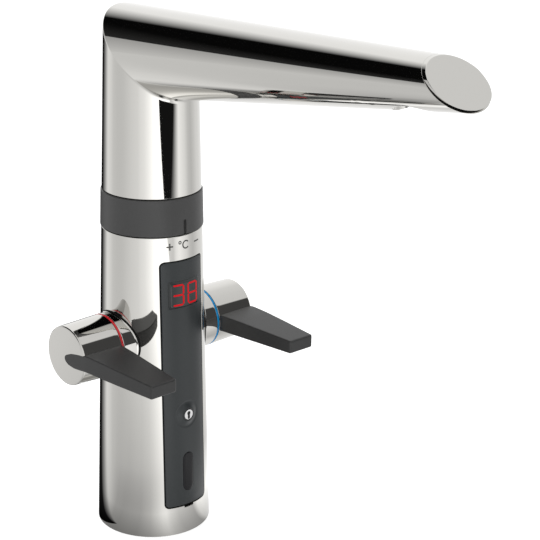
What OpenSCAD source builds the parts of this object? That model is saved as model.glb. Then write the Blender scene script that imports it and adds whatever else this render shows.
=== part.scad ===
// Single-hole kitchen faucet with hot and cold lever handles, temperature ring, display, button and sensor.
// Millimetres. +Z up, origin at the centre of the base's underside, spout towards -Y, cold side towards +X.

/* [Column] */
// Diameter of the column at the deck
base_d = 56; // [54:0.5:58]
// Loss of radius per millimetre of height
taper = 0.0238; // [0.022:0.0002:0.0255]
// Height of the column body, up to the temperature ring
body_h = 154; // [153:0.5:156]
// Wall of the column body
body_wall = 2.2; // [2:0.1:2.5]

/* [Base] */
// Thickness of the base plate with its seal
base_t = 12; // [11:0.5:13]
// Thickness of the deck seal
seal_t = 1.5; // [1:0.1:2]
// Radius of the central fixing thread
fixing_r = 4.25; // [3.3:0.05:5]
// Depth of the fixing thread
fixing_l = 9; // [8:0.5:9.5]
// Radius of the two inlet threads
inlet_r = 4.5; // [4:0.1:5]
// Sideways place of each inlet
inlet_x = 9; // [8.8:0.1:10]
// Distance of the inlets behind the column axis
inlet_y = 12; // [11.5:0.1:12.5]

/* [Handles] */
// Distance of the handle axis under the top of the column body
handle_drop = 55; // [52:0.5:58]
// Hub radius next to the coloured ring
hub_r = 15.07; // [14.6:0.1:15.5]
// Hub radius at its outer end
hub_end_r = 14.46; // [14:0.1:14.6]
// Distance by which the coloured ring's outer face stands out beyond the column's foot
ring_out = 2.3; // [1.8:0.1:3]
// Thickness of the coloured ring
ring_t = 1; // [0.8:0.1:1.4]
// Length of the hub
hub_l = 21.9; // [20:0.1:24]
// Reach of the lever in front of its axis
lever_reach = 60.8; // [45:0.5:80]
// Thickness of the lever at its tip
lever_tip_t = 6.4; // [5:0.1:8]
// Width of the lever at its tip
lever_tip_w = 14.6; // [10:0.1:18]

/* [Temperature ring] */
// Height of the temperature ring
dial_h = 17.8; // [16:0.1:20]
// Gap above and under the temperature ring
dial_gap = 0.42; // [0.3:0.02:0.6]
// Amount by which the ring stands out of the column
dial_proud = 0.48; // [0.2:0.02:0.8]

/* [Spout] */
// Height of the spout axis above the lower end of the spout, on the column axis
spout_up = 64.39; // [62:0.5:68]
// Rise of the spout above the horizontal, in degrees
spout_rise = 5.39; // [4.5:0.1:6.5]
// Length of the spout axis to its end face
spout_l = 190.08; // [185:1:205]
// Width of the spout at its end
tip_w = 31.8; // [30.5:0.1:34]
// Height of the spout at its end
tip_h = 20.9; // [20.2:0.1:23]
// Lean of the end face from square, in degrees
end_lean = 44.8; // [38:0.2:46]
// Wall of the spout
spout_wall = 1.6; // [1.4:0.1:1.8]
// Diameter of the aerator recess
aerator_d = 24; // [23:0.1:24.4]
// Depth of the aerator inside its recess
aerator_in = 4; // [3.5:0.1:4.5]

/* [Front panel] */
// Width of the front panel
panel_w = 25.4; // [24:0.1:27]
// Height of its lower edge above the deck
panel_z = 14.8; // [14.5:0.1:15.5]
// Distance of its upper edge under the top of the column body
panel_drop = 12.2; // [12:0.1:14]
// Radius of its corners
panel_r = 2.3; // [1.5:0.1:4]
// Thickness of the front panel
panel_t = 1.8; // [1.5:0.1:2]
// Width of the display window
display_w = 18.4; // [17.6:0.1:19.4]
// Height of the display window
display_h = 13.4; // [12.8:0.1:15]
// Distance of the display's centre under the panel's upper edge
display_drop = 16.7; // [15:0.1:18]
// Height of the two digits
digit_h = 10.8; // [9:0.1:11.2]
// Diameter of the push button
button_d = 6.6; // [5.8:0.1:8]
// Height of the push button
button_z = 63; // [61:0.5:70]
// Diameter of the finger dish around the button
dish_d = 14; // [12:0.1:16]
// Travel of the push button
button_travel = 0.7; // [0.4:0.1:0.8]
// Width of the sensor lens
lens_w = 6.4; // [5.6:0.1:7.5]
// Height of the sensor lens
lens_h = 20.5; // [18:0.1:23]
// Height of the sensor lens's centre
lens_z = 32.6; // [31:0.5:35]

/* [Clearances] */
// Radial clearance of parts that turn or slide in each other
run_gap = 0.05; // [0.03:0.01:0.08]
// Clearance between parts that are seated in each other
seat_gap = 0.03; // [0.02:0.01:0.05]
// Visible gap around the front panel
panel_gap = 0.25; // [0.15:0.05:0.4]

/* [Hidden] */
$fn = 96;
e = 0.01;

chrome = [0.80, 0.80, 0.79];
dark = [0.25, 0.26, 0.26];
brass = [0.72, 0.60, 0.35];

// Radius of the column at height z
function rc(z) = base_d / 2 - taper * z;

// Levels up the column
handle_z = body_h - handle_drop;
panel_h = body_h - panel_drop - panel_z;
display_z = panel_z + panel_h - display_drop;
dial_z0 = body_h + dial_gap;
dial_z1 = dial_z0 + dial_h;
spout_z0 = dial_z1 + dial_gap;
spout_z = spout_z0 + spout_up;
flange_top = body_h - 2;
flange_t = 5.4;
flange_bot = flange_top - flange_t;
shoulder_t = 3;
flange_r = rc(body_h) - body_wall;
shoulder_r = flange_r - 3.15;
bolt_r = flange_r - 1.75;
socket_z0 = spout_z0 + 1.4;
socket_z1 = socket_z0 + 44;
spigot_r = 10.6;
socket_r = 11;
water_r = 6;
clip_z = socket_z0 + 32.6;
spigot_top = clip_z + 4;
dial_r = rc(dial_z1) - 2.9;
bearing_r = dial_r - 2.1;
grub_r = base_d / 2 - 7;

// Valve levels
block_r = 12.5;
block_x = base_d / 2 - 6;
block_gap = 0.3;
cart_r = 10;
block_top = handle_z + 13;
valve_r = 8.5;
valve_bot = block_top;
valve_top = flange_bot - 4;
coil_z = (valve_bot + valve_top) / 2;
coil_l = base_d / 2 - 18;
stem_r = 4;
ring_x = base_d / 2 + ring_out;
hub_x0 = ring_x + 0.3;
hub_x1 = hub_x0 + hub_l;
collar_x = ring_x - ring_t;
stem_x = hub_x1 - 6.5;

// Board and battery
board_y = base_d / 2 - 10.6;
board_t = 1.6;
board_w = 21;
frame_lip = 2;
battery_w = base_d - 22;
battery_d = 17;
battery_h = 45;
holder_wall = 1.5;
holder_gap = 0.6;
battery_y = board_t + holder_gap + holder_wall - board_y;

// Spout section: half width and half height along its axis
side0 = rc(spout_z);
top0 = side0 - 1.17;
function side_at(s) = side0 - (side0 - tip_w / 2) * s / spout_l;
function top_at(s) = top0 - (top0 - tip_h / 2) * s / spout_l;
mitre_up = 1.6;
mitre_lean = 40.6;
aerator_s = spout_l - 20;
aerator_r = aerator_d / 2;
aerator_h = top_at(aerator_s);
tube_r = 5;
tube_bore = 4;
bend_r = 16;
bend_a = 90 - spout_rise;
bend_drop = bend_r * tan(bend_a / 2);
bend_z = round((spout_z - bend_drop) * 1000) / 1000;

// Frustum that follows the column, offset inwards
module column(z0, z1, off) {
  translate([0, 0, z0])
    cylinder(h = z1 - z0, r1 = rc(z0) - off, r2 = rc(z1) - off);
}

// Wall that follows the column, between two offsets
module wall(z0, z1, outer, inner) {
  difference() {
    column(z0, z1, outer);
    column(z0 - 1, z1 + 1, inner);
  }
}

// Plain ring
module ring(r1, r2, h) {
  difference() {
    cylinder(r = r1, h = h);
    translate([0, 0, -1]) cylinder(r = r2, h = h + 2);
  }
}

// Rounded rectangle about the origin
module rounded(w, h, r) {
  square([w - 2 * r, h], center = true);
  square([w, h - 2 * r], center = true);
  for (x = [-1, 1], y = [-1, 1])
    translate([x * (w / 2 - r), y * (h / 2 - r)]) circle(r = r);
}

// Prism towards the front, drawn in x and z
module front(z, depth = 40) {
  translate([0, 0, z]) rotate([90, 0, 0]) linear_extrude(depth) children();
}

// Places a shape made along +Z so that it points along +X (cold) or -X (hot) on the handle axis
module handle(side) {
  translate([0, 0, handle_z]) rotate([0, 90 * side, 0]) children();
}

// Spout frame: +Z along the spout, +Y away from the sink
module along_spout() {
  translate([0, 0, spout_z]) rotate([90 - spout_rise, 0, 0]) children();
}

// Aerator frame: +Z down out of the spout
module at_aerator() {
  along_spout() translate([0, 0, aerator_s]) rotate([90, 0, 0]) children();
}

// Height at which a line of the column at angle t meets the mitre
function mitre_z(t, off) = (spout_z + mitre_up - tan(mitre_lean) * (base_d / 2 - off) * sin(t))
  / (1 - tan(mitre_lean) * taper * sin(t));
function on_column(t, z, off) = [(rc(z) - off) * cos(t), -(rc(z) - off) * sin(t), z];
function on_spout(t, s, off) = let (y = -(top_at(s) - off) * sin(t)) [(side_at(s) - off) * cos(t),
  -s * cos(spout_rise) + y * sin(spout_rise), spout_z + s * sin(spout_rise) + y * cos(spout_rise)];

// Body of the spout, offset inwards: round tube up to the mitre, then an oval that narrows
module spout_body(off, down = 0, on = 25) {
  n = 96;
  a = concat(
    [for (i = [0 : n - 1]) on_column(360 * (i + 0.5) / n, spout_z0 - down, off)],
    [for (i = [0 : n - 1]) let (t = 360 * (i + 0.5) / n) on_column(t, mitre_z(t, off), off)],
    [for (i = [0 : n - 1]) on_spout(360 * (i + 0.5) / n, spout_l + on, off)]);
  f = [for (k = [0, n], i = [0 : n - 1]) each [
    [i + k, (i + 1) % n + k + n, i + k + n],
    [i + k, (i + 1) % n + k, (i + 1) % n + k + n]]];
  polyhedron(points = a, faces = concat(f, [[for (i = [n - 1 : -1 : 0]) i], [for (i = [0 : n - 1]) i + 2 * n]]));
}

// Everything beyond the end face, moved back along its normal
module beyond_end(back) {
  along_spout() translate([0, 0, spout_l]) rotate([-end_lean, 0, 0])
    translate([-50, -60, -back]) cube([100, 120, 60]);
}

// Window of the front panel in the column, with a notch for prying
module panel_window(grow) {
  front(panel_z + panel_h / 2) rounded(panel_w + 2 * grow, panel_h + 2 * grow, panel_r + grow);
}

// Seven-segment bar
module bar(l, t) {
  square([l - t, t], center = true);
  for (x = [-1, 1]) translate([x * (l - t) / 2, 0]) rotate(45) square(t / sqrt(2), center = true);
}

// Outline of the lit segments of one digit
module digit(segments) {
  w = digit_h * 0.56;
  t = digit_h * 0.085;
  g = t * 0.12;
  for (s = segments) {
    if (s < 3) translate([0, (s - 1) * (digit_h - t) / 2]) bar(w - t - 2 * g, t);
    if (s == 3 || s == 4)
      translate([(w - t) / 2, (s == 3 ? -1 : 1) * (digit_h - t) / 4]) rotate(90) bar((digit_h - t) / 2 - 2 * g, t);
    if (s == 5 || s == 6)
      translate([-(w - t) / 2, (s == 5 ? -1 : 1) * (digit_h - t) / 4]) rotate(90) bar((digit_h - t) / 2 - 2 * g, t);
  }
}

// Both digits, as prisms towards the front
module digits() {
  p = digit_h * 0.72 / 2;
  front(display_z) {
    translate([-p, 0]) digit([0, 1, 2, 3, 4]);
    translate([p, 0]) digit([0, 1, 2, 3, 4, 5, 6]);
  }
}

// Marks beside the ring's index: plus, degree, C and minus, as prisms pointing out of the column
module mark_prism(a, z) {
  rotate([0, 0, a]) front(z) children();
}
module marks() {
  mark_z = body_h - 4.7;
  mark_prism(-19.2, mark_z) {
    square([3.4, 0.6], center = true);
    square([0.6, 3.4], center = true);
  }
  mark_prism(-6.5, mark_z + 1.4) difference() {
    circle(r = 0.85);
    circle(r = 0.4);
  }
  mark_prism(1.6, mark_z) difference() {
    circle(r = 2.1);
    circle(r = 1.55);
    translate([0.6, -1]) square([3, 2]);
  }
  mark_prism(20, mark_z) square([4, 0.65], center = true);
}

// Chrome column body
module body_shell() {
  color(chrome) difference() {
    union() {
      wall(0, body_h, 0, body_wall);
      difference() {
        column(flange_bot - shoulder_t, flange_bot, body_wall - 0.2);
        translate([0, 0, flange_bot - shoulder_t - 1]) cylinder(r = shoulder_r, h = shoulder_t + 2);
      }
    }
    panel_window(panel_gap);
    front(panel_z - panel_gap) rounded(5.6, 1.4, 0.5);
    for (s = [-1, 1]) handle(s) cylinder(r = block_r - 0.45, h = 40);
    for (a = [45, 90, 135]) rotate([0, 0, a]) translate([15, 0, 7]) rotate([0, 90, 0]) cylinder(r = 1.55, h = 20);
    for (a = [90, 210, 330]) rotate([0, 0, a]) translate([bolt_r, 0, flange_bot - 10]) cylinder(r = 0.8, h = 12);
    intersection() {
      marks();
      wall(body_h - 9, body_h - 1, -0.5, 0.4);
    }
  }
}

// Inlaid marks
module scale_marks() {
  color([0.38, 0.38, 0.35]) intersection() {
    marks();
    wall(body_h - 9, body_h - 1, 0, 0.4);
  }
}

// Brass base plate with the fixing thread and the inlet ports
module base_plate() {
  color(brass) difference() {
    union() {
      cylinder(r = base_d / 2 - 8, h = seal_t + 1);
      column(seal_t, base_t, body_wall + seat_gap);
    }
    translate([0, 0, -1]) cylinder(r = fixing_r, h = fixing_l + 1);
    for (s = [-1, 1]) translate([s * inlet_x, inlet_y, 0]) {
      translate([0, 0, -1]) cylinder(r = inlet_r, h = 8.5);
      cylinder(r = 3, h = base_t + 1);
      translate([0, 0, base_t - 3]) cylinder(r = 4 + seat_gap, h = 5);
    }
    for (a = [45, 90, 135]) rotate([0, 0, a]) translate([grub_r - 0.1, 0, 7]) rotate([0, 90, 0]) cylinder(r = 1.53, h = 10);
  }
}

module base_seal() {
  color([0.1, 0.1, 0.1]) ring(base_d / 2 - body_wall - 0.3, base_d / 2 - 8 + seat_gap, seal_t);
}

// Grub screws at the back, which hold the body on the base plate
module base_grub_screws() {
  color([0.5, 0.5, 0.5]) for (a = [45, 90, 135]) rotate([0, 0, a]) translate([0, 0, 7]) rotate([0, 90, 0]) difference() {
    translate([0, 0, grub_r]) cylinder(r = 1.5, h = rc(7) - grub_r - 0.4);
    translate([0, 0, rc(7) - 2]) cylinder(r = 0.8, h = 3, $fn = 6);
  }
}

// Copper inlet tube from the base plate up to the valve block
module inlet_tube(side) {
  color([0.72, 0.45, 0.3]) translate([side * inlet_x, inlet_y, base_t - 3]) ring(4, 3, handle_z - 9 - base_t + 3);
}
module hot_inlet_tube() { inlet_tube(-1); }
module cold_inlet_tube() { inlet_tube(1); }

// Brass block that holds both cartridges and mixes their water
module valve_block() {
  color(brass) difference() {
    union() {
      intersection() {
        translate([-block_x, 0, handle_z]) rotate([0, 90, 0]) cylinder(r = block_r, h = 2 * block_x);
        column(handle_z - block_r - 1, handle_z + block_r + 1, body_wall + block_gap);
      }
      for (s = [-1, 1]) translate([s * inlet_x, inlet_y, handle_z - 15]) cylinder(r = 5.5, h = 17);
      translate([0, 0, handle_z]) cylinder(r = valve_r, h = block_top - handle_z);
    }
    for (s = [-1, 1]) {
      handle(s) translate([0, 0, 8]) cylinder(r = cart_r + seat_gap, h = 30);
      translate([s * inlet_x, inlet_y, handle_z - 16]) cylinder(r = 4 + seat_gap, h = 7);
      translate([s * inlet_x, inlet_y, handle_z - 10]) cylinder(r = 3, h = 10);
    }
    handle(1) translate([0, 0, -10]) cylinder(r = 3, h = 20);
    translate([0, -1.5, handle_z]) cylinder(r = 3, h = 20);
  }
}

// Quarter-turn ceramic cartridge
module cartridge(side) {
  color([0.85, 0.85, 0.8]) difference() {
    handle(side) difference() {
      translate([0, 0, 8 + seat_gap]) cylinder(r = cart_r, h = 11);
      translate([0, 0, 12]) cylinder(r = stem_r + run_gap, h = 20);
      translate([0, 0, 5]) cylinder(r = 2.5, h = 10);
    }
    translate([side * (inlet_x + 1.2), 0, handle_z]) rotate([-90, 0, 0]) cylinder(r = 1.5, h = 20);
  }
}
module hot_cartridge() { cartridge(-1); }
module cold_cartridge() { cartridge(1); }

// Nut that clamps cartridge and collar
module gland_nut(side) {
  color(brass) handle(side) difference() {
    union() {
      translate([0, 0, 19.1]) cylinder(r = cart_r, h = collar_x - 19.1 - 2);
      translate([0, 0, collar_x - 2.3]) cylinder(r = 11.8, h = 2.3, $fn = 6);
    }
    translate([0, 0, 15]) cylinder(r = stem_r + run_gap, h = 30);
  }
}
module hot_gland_nut() { gland_nut(-1); }
module cold_gland_nut() { gland_nut(1); }

// Chrome collar with a saddle end on the column
module collar(side) {
  color(chrome) difference() {
    union() {
      difference() {
        handle(side) translate([0, 0, 18]) cylinder(r1 = hub_r + 0.3, r2 = hub_r, h = collar_x - 18);
        column(handle_z - 30, handle_z + 30, -seat_gap);
      }
      handle(side) translate([0, 0, block_x + seat_gap]) cylinder(r = block_r - 0.5, h = collar_x - block_x - 1);
      handle(side) translate([0, 0, collar_x - 1]) cylinder(r = 13, h = ring_t + 1);
    }
    handle(side) translate([0, 0, 15]) cylinder(r = cart_r + seat_gap, h = 30);
    handle(side) translate([0, 0, collar_x - 2.3]) cylinder(r = 11.9, h = 10);
  }
}
module hot_collar() { collar(-1); }
module cold_collar() { collar(1); }

// Coloured ring, red for hot and blue for cold
module colour_ring(side) {
  handle(side) translate([0, 0, collar_x + e]) ring(hub_r, 13 + seat_gap, ring_t - e);
}
module hot_ring() { color([0.84, 0.14, 0.16]) colour_ring(-1); }
module cold_ring() { color([0.05, 0.5, 0.71]) colour_ring(1); }

// Cartridge spindle with a square end for the hub
module stem(side) {
  color(brass) handle(side) {
    translate([0, 0, 12.3]) cylinder(r = stem_r, h = hub_x0 + 2 - 12.3);
    translate([-2.8, -2.8, hub_x0 + 1.5]) cube([5.6, 5.6, stem_x - hub_x0 - 1.8]);
  }
}
module hot_stem() { stem(-1); }
module cold_stem() { stem(1); }

// Lever outline from above: distance from the column axis and distance in front of the handle axis
function lever_plan() = [
  [hub_x0 + 0.1, -6.5], [hub_x0 + 0.1, -13], [hub_x0 + 0.3, -16], [hub_x0 + 2.6, -38], [hub_x1 - 17, -lever_reach],
  [hub_x1 - 17 + lever_tip_w * 0.2, -lever_reach - 0.35], [hub_x1 - 17 + lever_tip_w * 0.5, -lever_reach - 0.5],
  [hub_x1 - 17 + lever_tip_w * 0.8, -lever_reach - 0.4], [hub_x1 - 17 + lever_tip_w, -lever_reach],
  [hub_x1 - 0.9, -38], [hub_x1 - 0.2, -24], [hub_x1 + 0.05, -15], [hub_x1 + 0.05, 1.2],
  [stem_x + 0.3, 1.2], [stem_x + 0.3, -6.5]];

// Lever outline from the side: distance in front of the handle axis and height over it
function lever_side() = [
  [1.1, -1.2], [0.9, -0.3], [0.2, 0.4], [-1.2, 1.1], [-4.1, 2.3], [-9.6, 3.4], [-16.2, 4.5], [-26, 4.4],
  [-lever_reach - 1, lever_tip_t / 2 - 0.3], [-lever_reach - 1, -lever_tip_t / 2 - 0.3],
  [-26, -3.8], [-14.9, -3.8], [-10.8, -4.2], [-5.9, -4.5], [-1.7, -4], [0.2, -3], [0.9, -2.2]];

module lever(side) {
  translate([0, 0, handle_z]) intersection() {
    translate([0, 0, -20]) linear_extrude(40) polygon([for (p = lever_plan()) [side * p[0], p[1]]]);
    rotate([90, 0, 90]) translate([0, 0, -80]) linear_extrude(160) polygon(lever_side());
  }
}
module hot_lever() { color(dark) lever(-1); }
module cold_lever() { color(dark) lever(1); }

// Chrome hub, cut out for the lever
module hub(side) {
  color(chrome) difference() {
    handle(side) difference() {
      union() {
        translate([0, 0, hub_x0]) cylinder(r1 = hub_r, r2 = hub_end_r + 0.01, h = hub_l - 0.4);
        translate([0, 0, hub_x1 - 0.4]) cylinder(r1 = hub_end_r + 0.01, r2 = hub_end_r - 0.4, h = 0.4);
      }
      translate([0, 0, hub_x0 - 1]) cylinder(r = stem_r + 0.2, h = 3.2);
      translate([-2.8 - seat_gap, -2.8 - seat_gap, hub_x0]) cube([5.6 + 2 * seat_gap, 5.6 + 2 * seat_gap, stem_x - hub_x0]);
    }
    lever(side);
    translate([side * (hub_x0 + 9), 2, handle_z]) rotate([-90, 0, 0]) cylinder(r = 2 + seat_gap, h = 20);
  }
}
module hot_hub() { hub(-1); }
module cold_hub() { hub(1); }

// Set screw at the back of the hub
module hub_screw(side) {
  color([0.5, 0.5, 0.5]) translate([side * (hub_x0 + 9), 0, handle_z]) rotate([-90, 0, 0]) difference() {
    translate([0, 0, 2.85]) cylinder(r = 2, h = hub_end_r - 3.5);
    translate([0, 0, hub_end_r - 3]) cylinder(r = 1.1, h = 5, $fn = 6);
  }
}
module hot_hub_screw() { hub_screw(-1); }
module cold_hub_screw() { hub_screw(1); }

// Solenoid valve: the water rises at the front, passes the seat and leaves to the spigot
module solenoid_valve() {
  color([0.75, 0.75, 0.72]) difference() {
    union() {
      translate([0, 0, valve_bot]) cylinder(r = valve_r, h = valve_top - valve_bot);
      translate([0, 0, coil_z]) rotate([-90, 0, 0]) cylinder(r = 8, h = 10);
    }
    translate([0, -2.5, valve_bot - 1]) cylinder(r = 2.5, h = coil_z - valve_bot + 1);
    translate([0, -3, coil_z]) rotate([-90, 0, 0]) cylinder(r = 1.8, h = 10);
    translate([0, 3, coil_z]) rotate([-90, 0, 0]) cylinder(r = 5, h = 10);
    translate([0, 5.7, coil_z]) cylinder(r = 2, h = 40);
  }
}
module solenoid_coil() {
  color([0.3, 0.3, 0.32]) translate([0, 10 + e, coil_z]) rotate([-90, 0, 0]) difference() {
    cylinder(r = 8.5, h = coil_l);
    translate([0, 0, -1]) cylinder(r = 4.5 + run_gap, h = coil_l - 0.4);
  }
}
module solenoid_plunger() {
  color([0.6, 0.6, 0.62]) translate([0, 3.05, coil_z]) rotate([-90, 0, 0]) cylinder(r = 4.5, h = coil_l + 3.7);
}

// Fixed spigot on which the spout swivels
module swivel_spigot() {
  color(brass) difference() {
    union() {
      translate([0, 0, valve_top]) cylinder(r = 14, h = flange_bot - valve_top);
      column(flange_bot, flange_top, body_wall + seat_gap);
      translate([0, 0, flange_top - 1]) cylinder(r = spigot_r, h = spigot_top - flange_top + 1);
    }
    translate([0, 0, valve_top - 1]) cylinder(r = 7.5, h = 8);
    translate([0, 0, valve_top]) cylinder(r = water_r, h = 100);
    for (z = [2, 27]) translate([0, 0, socket_z0 + z]) ring(20, 9.2, 4);
    for (z = [9, 22.6]) translate([0, 0, socket_z0 + z]) ring(20, 9.2, 2.4);
    translate([0, 0, clip_z]) ring(20, 9.4, 1.2);
    translate([0, 0, socket_z0 + 14.5]) rotate([0, 0, 90 - 72]) rotate_extrude(angle = 144)
      translate([8.8, 0]) square([6, 5]);
    for (a = [90, 210, 330]) rotate([0, 0, a]) translate([bolt_r, 0, flange_bot - 1]) cylinder(r = 1.1, h = 10);
    for (a = [90, 210, 330]) rotate([0, 0, a]) translate([bolt_r, 0, flange_top - 2]) cylinder(r = 1.65, h = 10);
  }
}

// Screws that hold the spigot's flange on the shoulder of the column
module spigot_screws() {
  color([0.5, 0.5, 0.5]) for (a = [90, 210, 330]) rotate([0, 0, a]) translate([bolt_r, 0, 0]) {
    translate([0, 0, flange_bot - 2.8]) cylinder(r = 0.8, h = 6.4);
    translate([0, 0, flange_top - 2]) cylinder(r = 1.6, h = 1.6);
  }
}

// Plastic slide rings and rubber seals in the spigot's grooves
module slide_rings() {
  color([0.9, 0.9, 0.86]) for (z = [2, 27]) translate([0, 0, socket_z0 + z + 0.1]) ring(socket_r - run_gap, 9.25, 3.8);
}
module spigot_seals() {
  color([0.1, 0.1, 0.1]) for (z = [9, 22.6]) translate([0, 0, socket_z0 + z + 0.2]) ring(socket_r - run_gap, 9.25, 2);
}
module retaining_clip() {
  color([0.6, 0.6, 0.6]) translate([0, 0, clip_z + 0.1]) difference() {
    ring(12.6, 9.45, 1);
    translate([-3, 8, -1]) cube([6, 6, 3]);
  }
}

// Plastic sleeve on the flange, on which the temperature ring turns
module dial_bearing() {
  color([0.85, 0.85, 0.8]) difference() {
    translate([0, 0, flange_top]) ring(dial_r, bearing_r, dial_z1 - flange_top);
    for (a = [90, 210, 330]) rotate([0, 0, a]) translate([bolt_r, 0, flange_top - 1]) cylinder(r = 1.9, h = 1.8);
  }
}

// Temperature ring with its index slot at the front
module temperature_ring() {
  color([0.3, 0.3, 0.3]) difference() {
    union() {
      column(dial_z0, dial_z1, -dial_proud);
      translate([0, 0, flange_top + 0.1]) cylinder(r = dial_r + 0.9, h = dial_z0 - flange_top);
    }
    translate([0, 0, flange_top - 1]) cylinder(r = dial_r + run_gap, h = 40);
    difference() {
      union() {
        front(dial_z0 + 2.4) square([1.2, 8.2], center = true);
        front(dial_z0 + 6.5) circle(r = 0.6);
      }
      column(dial_z0 - 2, dial_z1, 0.4);
    }
    translate([-2.5, dial_r + 0.5, dial_z0 + 5]) cube([5, 1.6, 8]);
  }
}

// Magnet in the ring and the sensor that reads it
module dial_magnet() {
  color([0.45, 0.45, 0.48]) translate([-2.4, dial_r + 0.6, dial_z0 + 5.1]) cube([4.8, 1.4, 7.8]);
}
module dial_sensor() {
  color([0.12, 0.3, 0.2]) translate([-3, dial_r - 6.4, flange_top]) cube([6, 3.8, 14]);
}

// Spout: upper tube and oval spout, open at the oblique end
module spout_shell() {
  color(chrome) difference() {
    spout_body(0);
    spout_body(spout_wall, 1, 27);
    beyond_end(1.4);
    at_aerator() cylinder(r = aerator_r + seat_gap, h = 40);
    translate([0, 15, socket_z0 + 17]) rotate([-90, 0, 0]) cylinder(r = 2.1, h = 20);
  }
}

// Oblique cap of the spout, with a plug that centres it
module spout_end_cap() {
  color(chrome) {
    intersection() {
      spout_body(0.05);
      difference() {
        beyond_end(1.2);
        beyond_end(0);
      }
    }
    intersection() {
      spout_body(spout_wall + 0.1);
      difference() {
        beyond_end(4);
        beyond_end(1);
      }
    }
  }
}

// Brass socket in the upper tube, which turns on the spigot
module spout_socket() {
  color(brass) difference() {
    column(socket_z0, socket_z1, spout_wall + seat_gap);
    translate([0, 0, socket_z0 - 1]) cylinder(r = socket_r, h = 60);
    translate([0, 0, clip_z - 0.1]) cylinder(r = 13.5, h = 30);
    translate([0, 6, socket_z0 + 17]) rotate([-90, 0, 0]) cylinder(r = 2 + seat_gap, h = 30);
  }
}

// Plug that closes the socket and takes the spout's tube
module socket_cap() {
  color(brass) translate([0, 0, socket_z1 - 6]) difference() {
    cylinder(r = 13.5 - seat_gap, h = 6);
    translate([0, 0, -1]) cylinder(r = tube_bore, h = 8);
    translate([0, 0, 1.5]) cylinder(r = tube_r + seat_gap, h = 8);
  }
}

// Grub screw at the back: it holds the spout and stops the swivel
module swivel_stop_screw() {
  color([0.5, 0.5, 0.5]) translate([0, 0, socket_z0 + 17]) rotate([-90, 0, 0]) difference() {
    translate([0, 0, 9.3]) cylinder(r = 2, h = rc(socket_z0 + 17) - 9.6);
    translate([0, 0, rc(socket_z0 + 17) - 2.5]) cylinder(r = 1.1, h = 5, $fn = 6);
  }
}

// Water tube in the spout: up, round the bend and along the spout
module tube_line(r, elbow, out) {
  translate([0, 0, socket_z1 - 4.5 - out]) cylinder(r = r, h = bend_z - socket_z1 + 5 + out);
  translate([0, -bend_r, bend_z]) rotate([90, 0, 90]) rotate_extrude(angle = bend_a)
    translate([bend_r, 0]) circle(r = elbow);
  along_spout() translate([0, 0, bend_drop - 0.5]) cylinder(r = r, h = aerator_s - 13.5 - bend_drop + out);
}
module spout_tube() {
  color([0.9, 0.9, 0.9]) difference() {
    tube_line(tube_r, tube_r + 0.1, 0);
    tube_line(tube_bore, tube_bore - 0.1, 1);
  }
}

// Housing of the aerator inside the spout
module aerator_housing() {
  color(brass) difference() {
    intersection() {
      union() {
        at_aerator() translate([0, 0, 0.5]) cylinder(r = aerator_r + 1.5, h = 20);
        at_aerator() translate([0, 0, -6.5]) cylinder(r = 6.5, h = 8);
        along_spout() translate([0, 0, aerator_s - 20]) cylinder(r = 6.5, h = 20);
      }
      spout_body(spout_wall + seat_gap);
    }
    at_aerator() translate([0, 0, 2]) cylinder(r = aerator_r, h = 20);
    at_aerator() cylinder(r = 5, h = 10);
    along_spout() translate([0, 0, aerator_s - 21]) cylinder(r = tube_r + seat_gap, h = 7);
    along_spout() translate([0, 0, aerator_s - 21]) cylinder(r = tube_bore, h = 21);
  }
}

// Threaded ring of the aerator and the insert that breaks up the stream
module aerator_ring() {
  color(chrome) at_aerator() translate([0, 0, 2 + seat_gap])
    ring(aerator_r - seat_gap, aerator_r - 2.4, aerator_h - aerator_in - 2 - seat_gap);
}
module aerator_insert() {
  color([0.85, 0.85, 0.83]) at_aerator() translate([0, 0, 2.1]) difference() {
    cylinder(r = aerator_r - 2.4 - seat_gap, h = aerator_h - aerator_in - 2.6);
    for (i = [0 : 5]) rotate([0, 0, 60 * i]) translate([3.1, 0, -1]) cylinder(r = 1.25, h = 20);
    for (i = [0 : 11]) rotate([0, 0, 30 * i + 15]) translate([6.4, 0, -1]) cylinder(r = 1.25, h = 20);
    translate([0, 0, -1]) cylinder(r = 1.25, h = 20);
  }
}

// Plastic frame inside the column: it carries the panel and the circuit board
module panel_frame() {
  color([0.12, 0.12, 0.12]) difference() {
    union() {
      intersection() {
        wall(base_t, flange_bot - shoulder_t, body_wall + seat_gap, body_wall + 1.3);
        front(panel_z + panel_h / 2) rounded(panel_w + 6, panel_h + 3, panel_r + 1.5);
      }
      intersection() {
        wall(panel_z - 1, panel_z + panel_h + 1, panel_t + seat_gap, body_wall + 1.3);
        front(panel_z + panel_h / 2) rounded(panel_w, panel_h, panel_r);
      }
      for (x = [-1, 1], z = [panel_z + 1.6, panel_z + panel_h - 1.6]) intersection() {
        translate([x * 6, -board_y, z]) rotate([90, 0, 0]) cylinder(r = 1.5, h = 10);
        column(0, body_h, body_wall + 1);
      }
    }
    front(panel_z + panel_h / 2) rounded(panel_w - 2 * frame_lip, panel_h - 2 * frame_lip - 2.2, panel_r);
  }
}

// Dark front panel with its display, button and sensor openings
module front_panel() {
  color(dark) difference() {
    intersection() {
      wall(panel_z - 1, panel_z + panel_h + 1, 0, panel_t);
      front(panel_z + panel_h / 2) rounded(panel_w, panel_h, panel_r);
    }
    front(display_z) rounded(display_w, display_h, 0.6);
    front(button_z) circle(r = button_d / 2 + run_gap);
    difference() {
      front(button_z) circle(r = dish_d / 2);
      column(0, body_h, 0.6);
    }
    front(lens_z) rounded(lens_w, lens_h, lens_w / 2 - e);
  }
}

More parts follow.
